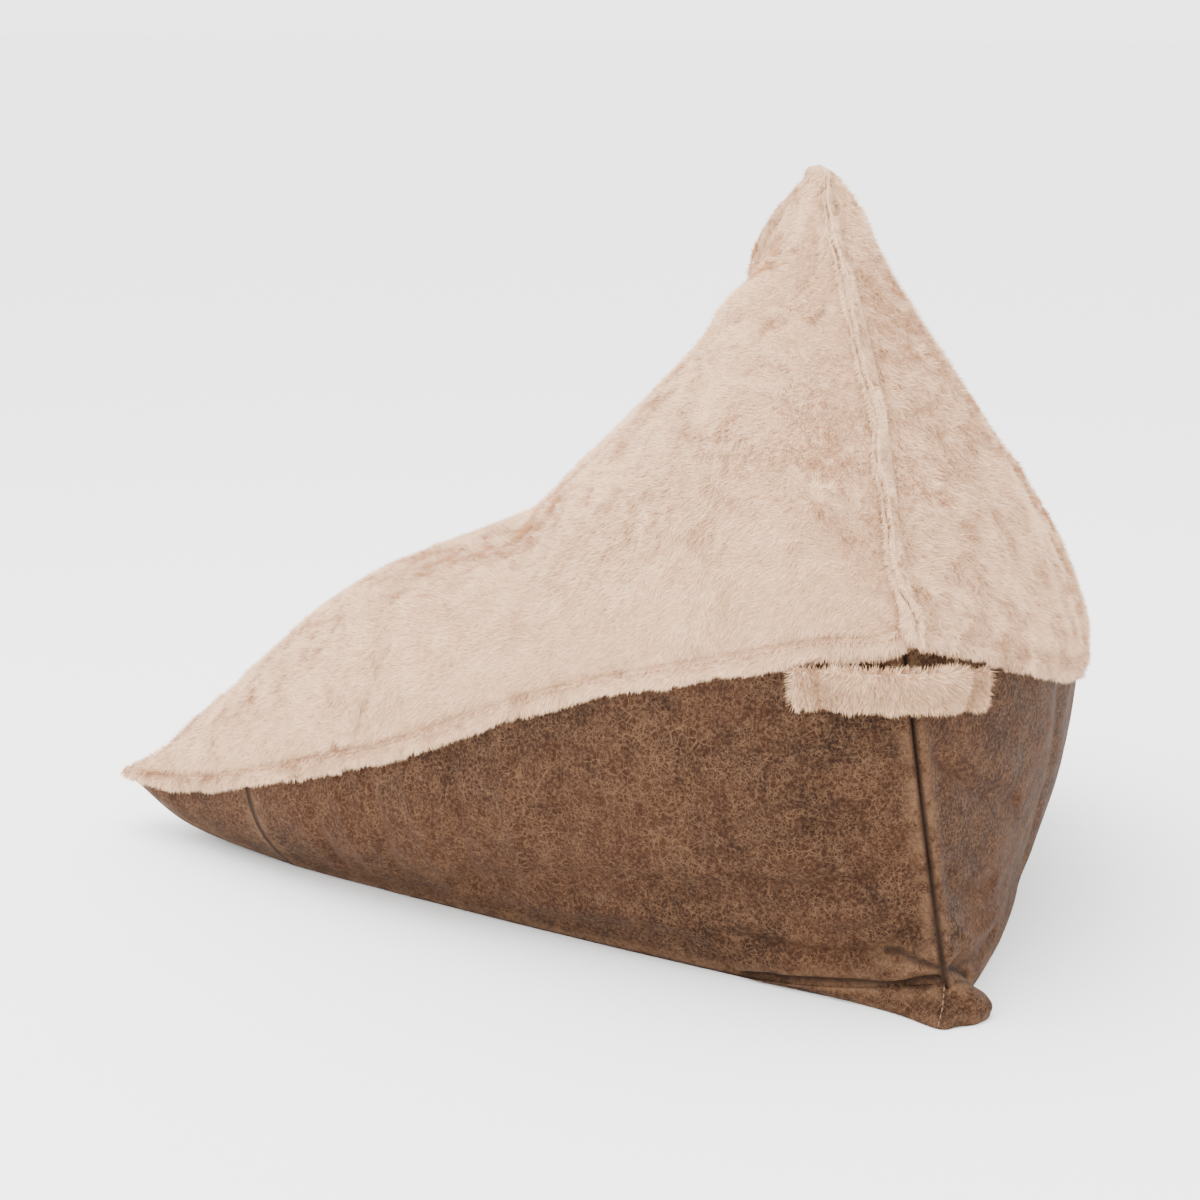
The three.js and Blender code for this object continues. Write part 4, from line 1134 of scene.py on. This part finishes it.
def ear_lines(side, height):
    """Three lines along a gathered corner of the base: the fold on the walls that it hangs from, the rim of
    the base below that, and its own edge on the floor, which runs out to a tip and back round a lobe."""
    k = np.linspace(0, 1, EAR_STEPS + 1)
    before, beyond = np.clip(k / EAR_SPLIT, 0, 1), np.clip((k - EAR_SPLIT) / (1 - EAR_SPLIT), 0, 1)
    station, s = CORNER - 1.75 * (1 - before), side * (1 - 0.2 * beyond)
    rise = height / LEFT_EDGE[CORNER][2] * (0.04 + 0.96 * before**1.3 * (1 - beyond**1.6))
    on_side = (k <= EAR_SPLIT)[:, None]
    fold = np.where(on_side, side_surface(side, station, 1 - rise), lower_back_surface(1 - rise, s))
    rim = np.where(on_side, side_surface(side, station, np.ones_like(k)), lower_back_surface(np.ones_like(k), s))
    offsets = [(-0.056, -0.222), (-0.028, -0.135), (0.004, -0.062), (0.037, -0.01), (0.026, 0.012), (0.012, 0.034),
               (-0.02, 0.045), (-0.066, 0.018)]
    outline = np.array([(x, y, 0) for x, y in offsets]) + LEFT_RIM[CORNER]
    edge = along(outline, np.interp(k, [0, EAR_SPLIT, 1], [0, 3, 7])) * np.array([side, 1, 1])
    return k, fold, rim, edge


def ear_object(name, side, height):
    """The gathered corner of the base that sticks out on the floor: a wedge between its fold, its edge and
    the rim, puffed out by half a sine across it and wrinkled by noise and by creases from the pinch."""
    k, fold, rim, edge = ear_lines(side, height)
    turned = smoothstep(k, EAR_SPLIT - 0.1, EAR_SPLIT + 0.14)[:, None]
    out = unit(np.array([side, 0, 0.3]) * (1 - turned) + np.array([side * 0.4, 1, 0.3]) * turned)
    t = np.linspace(0, 1, 33)[None, :, None]
    top, low = (fold + out * 0.006)[:, None], (edge + np.array([0, 0, 0.0008]))[:, None]
    skin = mix(top, low, t)
    lobe = np.exp(-(((k - 0.78) / 0.11) ** 2))[:, None]
    across = np.sin(math.pi * t[..., 0])
    puff = across * (0.003 + 0.02 * lobe) * np.minimum(1, 8 * k * (1 - k))[:, None]
    pinch = np.exp(-(((k - EAR_SPLIT - 0.03) / 0.03) ** 2))[:, None] * (1 - t[..., 0]) * 0.012
    crease = 0.0022 * np.sin(38 * k)[:, None] * across * smoothstep(k, 0.35, 0.6)[:, None]
    lumps = (0.003 * noise(skin, 0.03, 41) + 0.0015 * noise(skin, 0.011, 42)) * across
    skin = skin + out[:, None] * (puff + crease + lumps - pinch)[..., None]
    inner = (rim - out * 0.004)[:, None]
    inner = inner * np.array([1, 1, 0]) + np.array([0, 0, 0.0008])
    under = mix(low, inner, t[:, ::4])
    behind = mix(inner, (fold - out * 0.003)[:, None], t[:, ::8])
    grid = closed_rings(np.concatenate([skin, under[:, 1:], behind[:, 1:]], axis=1))
    rows, cols = grid.shape[:2]
    # A made-up seam distance for the leather shader: smallest along the fold against the walls and small along the
    # edge on the floor, so painted shade darkens both, with a paler worn band beside them.
    seam = np.full((rows, cols), 0.05)
    seam[1:-1, : t.shape[1]] = 0.002 + 0.05 * np.minimum(t[..., 0], 1.25 * (1 - t[..., 0]) + 0.08)
    made = new_object(name, grid.reshape(-1, 3), grid_faces(rows, cols, False), merge=0.0002, seam=seam.ravel())
    rework(made.data, face_outwards)
    corner = int(EAR_SPLIT * EAR_STEPS)
    return made, skin[corner], out[corner]


# ---- properties ------------------------------------------------------------------------------------------------


def colour_property(name, description, code):
    """A colour property with its default written as RRGGBB."""
    return bpy.props.FloatVectorProperty(
        name=name, description=description, default=linear(code), subtype="COLOR", size=3, min=0, max=1
    )


def length_property(name, description, default):
    """A length in metres."""
    return bpy.props.FloatProperty(name=name, description=description, default=default, unit="LENGTH")


class BagSizes(bpy.types.PropertyGroup):
    """Sizes of what the frame leaves open."""

    pile_length: length_property("Pile length", "Length of the hairs on the panels", 0.0085)
    edge_length: length_property("Edge hair length", "Length of the hairs on hems and flanges", 0.0105)
    hair_width: length_property("Hair width", "Width of one hair at its root", 0.0014)
    density: bpy.props.FloatProperty(
        name="Density", description="Hairs on a square metre of a panel", default=380000.0, min=1000.0
    )
    ear_height: length_property("Ear height", "Height of a gathered corner on the floor", 0.045)
    stitch_length: length_property("Stitch length", "Length of one stitch", 0.006)


class BagLooks(bpy.types.PropertyGroup):
    """Colours of the bag's materials."""

    plush_colour: colour_property("Plush", "The plush in even light", "E2BF9D")
    leather_ground: colour_property("Leather", "The leather's ground colour", "462A1B")
    leather_pale: colour_property("Leather scuffs", "Its scuffs and veins", "9A7659")
    leather_dark: colour_property("Leather dark", "Its dark patches", "26160D")
    thread: colour_property("Thread", "The stitches on the plush", "A5714C")
    edge_thread: colour_property("Corner thread", "The stitches on the leather", "6E4F38")
    webbing: colour_property("Webbing", "The strap in the handle", "8A7765")
    liner: colour_property("Liner", "The inner bag's cloth", "D9D4CA")
    beads: colour_property("Beads", "The filling", "F2F0EA")
    zip_tape: colour_property("Zip tape", "The zips' tapes", "5A4130")
    zip_coil: colour_property("Zip coil", "The zips' coils", "3F2E22")
    zip_metal: colour_property("Zip metal", "Sliders and stops", "9A8F80")


# ---- operators -------------------------------------------------------------------------------------------------


def pile_look(sizes, lie, lean, length, density=1.0, spread=0.8, crevice=0.0, shade=0.0):
    """The settings of one area of pile."""
    # crevice weighs how much shorter the hairs grow near an edge or groove, and how much painted shade darkens them
    # there.
    return {
        "lie": lie, "lean": lean, "length": length, "density": sizes.density * density, "width": sizes.hair_width,
        "spread": spread, "crevice": crevice, "shade": shade,
    }


def plush_backing(looks):
    """The plush backing's material, made when the first operator needs it."""
    return bpy.data.materials.get("Plush backing") or plush_material(looks)


def settings(context):
    """The scene's sizes and looks."""
    return context.scene.bag_sizes, context.scene.bag_looks


def tones(looks):
    """The hair materials."""
    ready = [bpy.data.materials.get(f"Plush hair {i + 1}") for i in range(TONES)]
    return ready if all(ready) else hair_materials(looks)


class BAG_OT_plush_panels(bpy.types.Operator):
    """Makes the front and the back plush panel with their pile"""

    bl_idname = "bean_bag.plush_panels"
    bl_label = "Plush panels"

    def execute(self, context):
        sizes, looks = settings(context)
        backing = plush_backing(looks)
        rows = (
            ("plush_front", front_panel(), "plush_front_panel", (0.1, -0.75, -0.75), 0.95, 101),
            ("plush_rear", back_panel(), "plush_back_panel", (0.0, 0.3, -1.0), 0.95, 202),
        )
        for name, panel, stands_for, lie, lean, seed in rows:
            made = finish_piece(sheet_object(name, [panel], 0.003), backing, "plush", stands_for)
            look = pile_look(sizes, lie, lean, sizes.pile_length, crevice=1.0)
            grow_pile(f"{name}_pile", panel, look, tones(looks), seed)
        return {"FINISHED"}


class BAG_OT_edges(bpy.types.Operator):
    """Makes the flanges on the rear seams and the hems over the leather, with their longer pile and stitches"""

    bl_idname = "bean_bag.edges"
    bl_label = "Flanges and hems"

    def execute(self, context):
        sizes, looks = settings(context)
        backing = plush_backing(looks)
        hems = {"left": side_hem(LEFT_EDGE, 1), "right": side_hem(RIGHT_EDGE, -1), "back": back_hem()}
        rows = [
            ("left_flange", flange_rope(LEFT_EDGE, 1, 1.0), "left_rear_plush_flange", (0, 0, -1), 1.2, 301),
            ("right_flange", flange_rope(RIGHT_EDGE, -1, 0.75), "right_rear_plush_flange", (0, 0, -1), 1.2, 302),
        ]
        rows += [
            (f"{key}_hem", hem_rope(*hems[key]), f"{key}_plush_hem", (0, 0, -1), 1.15, 303 + number)
            for number, key in enumerate(hems)
        ]
        for name, rope, stands_for, lie, lean, seed in rows:
            finish_piece(tube_object(name, rope), backing, "plush", stands_for)
            length = sizes.edge_length * (0.62 if "flange" in name else 0.8)
            look = pile_look(sizes, lie, lean, length, density=1.7, spread=0.9, crevice=0.9)
            grow_pile(f"{name}_pile", rope, look, tones(looks), seed)
        thread = blank_material("Plush thread", 0.7, Base_Color=(*looks.thread, 1))[0]
        for key, (path, out) in hems.items():
            index = evenly(path, 0.0085)
            way = unit(at(np.gradient(path, axis=0), index))
            lift = at(path, index) + at(out, index) * 0.0052
            made = stitches(f"{key}_hem_stitches", lift, way, at(out, index), sizes.stitch_length, 0.0008)
            finish_piece(made, thread, "plush")
        return {"FINISHED"}


class BAG_OT_leather(bpy.types.Operator):
    """Makes the leather sides, the leather back, the base with its zip opening, and the gathered corners"""

    bl_idname = "bean_bag.leather"
    bl_label = "Leather panels"

    def execute(self, context):
        sizes, looks = settings(context)
        hide = hide_material(looks)
        rows = (
            ("leather_left", [side_panel(1)], "left_leather_side"),
            ("leather_right", [side_panel(-1)], "right_leather_side"),
            ("leather_rear", [lower_back_panel()], "leather_back"),
            ("leather_under", base_panels(), "leather_base"),
        )
        for name, panels, stands_for in rows:
            made = finish_piece(sheet_object(name, panels, LEATHER), hide, "leather", stands_for)
            if stands_for == "leather_base":
                open_zip(made, "cover", 0.02)
        thread = blank_material("Corner thread", 0.7, Base_Color=(*looks.edge_thread, 1))[0]
        for name, side, stands_for in (("ear_left", 1, "left_leather_ear"), ("ear_right", -1, "right_leather_ear")):
            made, ridge_line, ridge_out = ear_object(name, side, sizes.ear_height)
            finish_piece(made, hide, "leather", stands_for)
            index = evenly(ridge_line[2:-1], 0.0075) + 2
            way = unit(at(np.gradient(ridge_line, axis=0), index))
            out = np.broadcast_to(ridge_out, way.shape)
            row = stitches(f"{name}_stitches", at(ridge_line, index), way, out, sizes.stitch_length, 0.0007)
            finish_piece(row, thread, "leather")
        return {"FINISHED"}


def open_zip(made, prefix, top):
    """Cuts the opening of a zip into a piece, round the zip's coils in the frame and below a height."""
    low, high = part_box(f"{prefix}_zip_coil_front")
    y = (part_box(f"{prefix}_zip_coil_rear")[0][1] + high[1]) / 2
    cut_slot(made, (high[0] - low[0]) / 2 + SLOT_ROOM, y, SLOT_ROOM, top)


class BAG_OT_handle(bpy.types.Operator):
    """Makes the carry handle: its plush sleeve with stitched ends, and the webbing inside it"""

    bl_idname = "bean_bag.handle"
    bl_label = "Carry handle"

    def execute(self, context):
        sizes, looks = settings(context)
        path, out, index = handle_path()
        backing = plush_backing(looks)
        sleeve = strap_rope(path, out, index, HANDLE_WIDTH, HANDLE_THICKNESS, 0.0)
        made = finish_piece(tube_object("handle_sleeve", sleeve), backing, "plush", "handle_plush_sleeve")
        length = sizes.edge_length * 0.95
        look = pile_look(sizes, (0, 0, -1), 0.65, length, density=1.5, spread=1.7, crevice=1.0, shade=1.0)
        grow_pile("handle_pile", sleeve, look, tones(looks), 401)
        core = strap_rope(path, out, index, WEBBING_WIDTH, 0.002, 0.0045)
        strap = cloth_material("Webbing cloth", list(looks.webbing), 700.0)
        finish_piece(tube_object("handle_strap", core), strap, "webbing", "handle_webbing")
        thread = bpy.data.materials["Plush thread"]
        ends, rim = [], 0.02
        for a, b in ((0.12, 0.9), (6.1, 6.88)):
            ends += [(number, share) for number in np.linspace(a, b, 5) for share in (-rim, rim)]
            ends += [(number, share) for number in (a, b) for share in np.linspace(-0.015, 0.015, 4)]
        ends = np.array(ends)
        place = np.interp(ends[:, 0], index, np.arange(len(index)))
        run = unit(at(np.gradient(path, axis=0), place))
        up = at(out, place)
        side = unit(np.cross(run, up))
        way = np.where(np.abs(ends[:, 1:]) == rim, run, side)
        lift = at(path, place) + side * ends[:, 1:] + up * (HANDLE_THICKNESS * 0.74)
        made = stitches("handle_stitches", lift, unit(way), unit(up), sizes.stitch_length, 0.0009)
        finish_piece(made, thread, "plush")
        return {"FINISHED"}


class BAG_OT_filling(bpy.types.Operator):
    """Makes the inner bag with its zip opening, and the beads inside it"""

    bl_idname = "bean_bag.filling"
    bl_label = "Liner and beads"

    def execute(self, context):
        looks = settings(context)[1]
        cloth = cloth_material("Liner cloth", list(looks.liner), 1200.0)
        liner = bag_inside("liner", LINER_DEPTH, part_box("liner_bag")[0][2], FILL_TOP)
        open_zip(liner, "liner", 0.0085)
        add_thickness(liner, 0.0008)
        finish_piece(liner, cloth, "liner_cloth", "liner_bag")
        foam = speckled_material("Foam beads", list(looks.beads), 260.0, 0.8)
        beads = bag_inside("beads", BEAD_DEPTH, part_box("bead_fill")[0][2], FILL_TOP - 0.004)
        finish_piece(beads, foam, "beads", "bead_fill")
        return {"FINISHED"}


class BAG_OT_zips(bpy.types.Operator):
    """Gives the frame's zips their cloth, plastic and metal"""

    bl_idname = "bean_bag.zips"
    bl_label = "Zips"

    def execute(self, context):
        looks = settings(context)[1]
        tape = cloth_material("Zip tape cloth", list(looks.zip_tape), 1500.0)
        coil = speckled_material("Zip coil plastic", list(looks.zip_coil), 900.0, 0.45)
        metal = speckled_material("Zip metal", list(looks.zip_metal), 1400.0, 0.35, 1.0)
        for name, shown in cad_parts.items():
            if "_zip_" in name:
                chosen = tape if "tape" in name else coil if "coil" in name else metal
                shown.data.materials.clear()
                shown.data.materials.append(chosen)
        return {"FINISHED"}


def aimed(name, data, place, target):
    """An object in a place that points at a target."""
    made = linked(name, data)
    made.location = place
    made.rotation_euler = (Vector(target) - Vector(place)).to_track_quat("-Z", "Y").to_euler()
    return made


def area_light(name, place, target, size, power):
    """A square soft light that points at a target."""
    data = bpy.data.lights.new(name, "AREA")
    data.size, data.energy = size, power
    aimed(name, data, place, target)


class BAG_OT_stage(bpy.types.Operator):
    """Makes the floor, the lights, the world and the camera"""

    bl_idname = "bean_bag.stage"
    bl_label = "Stage"

    def execute(self, context):
        scene = context.scene
        signs = ((-1, -1), (1, -1), (1, 1), (-1, 1))
        corners = np.array([(x * FLOOR_HALF, y * FLOOR_HALF, FLOOR_LEVEL) for x, y in signs])
        floor = new_object("floor", corners, np.array([[0, 1, 2, 3]]), smooth=False)
        plain = {"Specular_IOR_Level": 0.05, "Base_Color": (0.97, 0.97, 0.97, 1)}
        floor.data.materials.append(blank_material("Floor paint", 0.9, **plain)[0])
        world = bpy.data.worlds.new("Studio")
        world.use_nodes = True
        sky = world.node_tree.nodes["Background"].inputs
        sky["Color"].default_value, sky["Strength"].default_value = (1, 1, 1, 1), 3.4
        scene.world = world
        area_light("Overhead", (0.6, -0.4, 3.2), (0, 0, 0.3), 2.6, 130)
        area_light("Front fill", (3.2, -1.6, 2.2), (0, 0, 0.4), 2.0, 50)
        scene.camera = aimed("Camera", bpy.data.cameras.new("Camera"), (3.238, 0.712, 1.2), (0.255, 0.078, 0.43))
        scene.camera.data.lens, scene.camera.data.sensor_width = 78, 36
        return {"FINISHED"}


OPERATORS = (
    BAG_OT_plush_panels, BAG_OT_edges, BAG_OT_leather, BAG_OT_handle, BAG_OT_filling, BAG_OT_zips, BAG_OT_stage,
)


class BAG_PT_panel(bpy.types.Panel):
    """Lists the sizes, the colours and the steps of the bag"""

    bl_idname = "BAG_PT_panel"
    bl_label = "Bean bag chair"
    bl_space_type = "VIEW_3D"
    bl_region_type = "UI"
    bl_category = "Bean Bag"

    def draw(self, context):
        for group in settings(context):
            for key in group.bl_rna.properties.keys():
                if key not in ("name", "rna_type"):
                    self.layout.prop(group, key)
        for step in OPERATORS:
            self.layout.operator(step.bl_idname)


CLASSES = (BagSizes, BagLooks, *OPERATORS, BAG_PT_panel)


def register():
    """Registers the classes and hangs the properties on the scene."""
    for made in CLASSES:
        bpy.utils.register_class(made)
    bpy.types.Scene.bag_sizes = bpy.props.PointerProperty(type=BagSizes)
    bpy.types.Scene.bag_looks = bpy.props.PointerProperty(type=BagLooks)


def unregister():
    """Takes back what register did."""
    del bpy.types.Scene.bag_looks
    del bpy.types.Scene.bag_sizes
    for made in reversed(CLASSES):
        bpy.utils.unregister_class(made)


def main():
    """Builds every piece in order."""
    register()
    for step in OPERATORS:
        group, name = step.bl_idname.split(".")
        getattr(getattr(bpy.ops, group), name)()


if __name__ == "__main__":
    main()
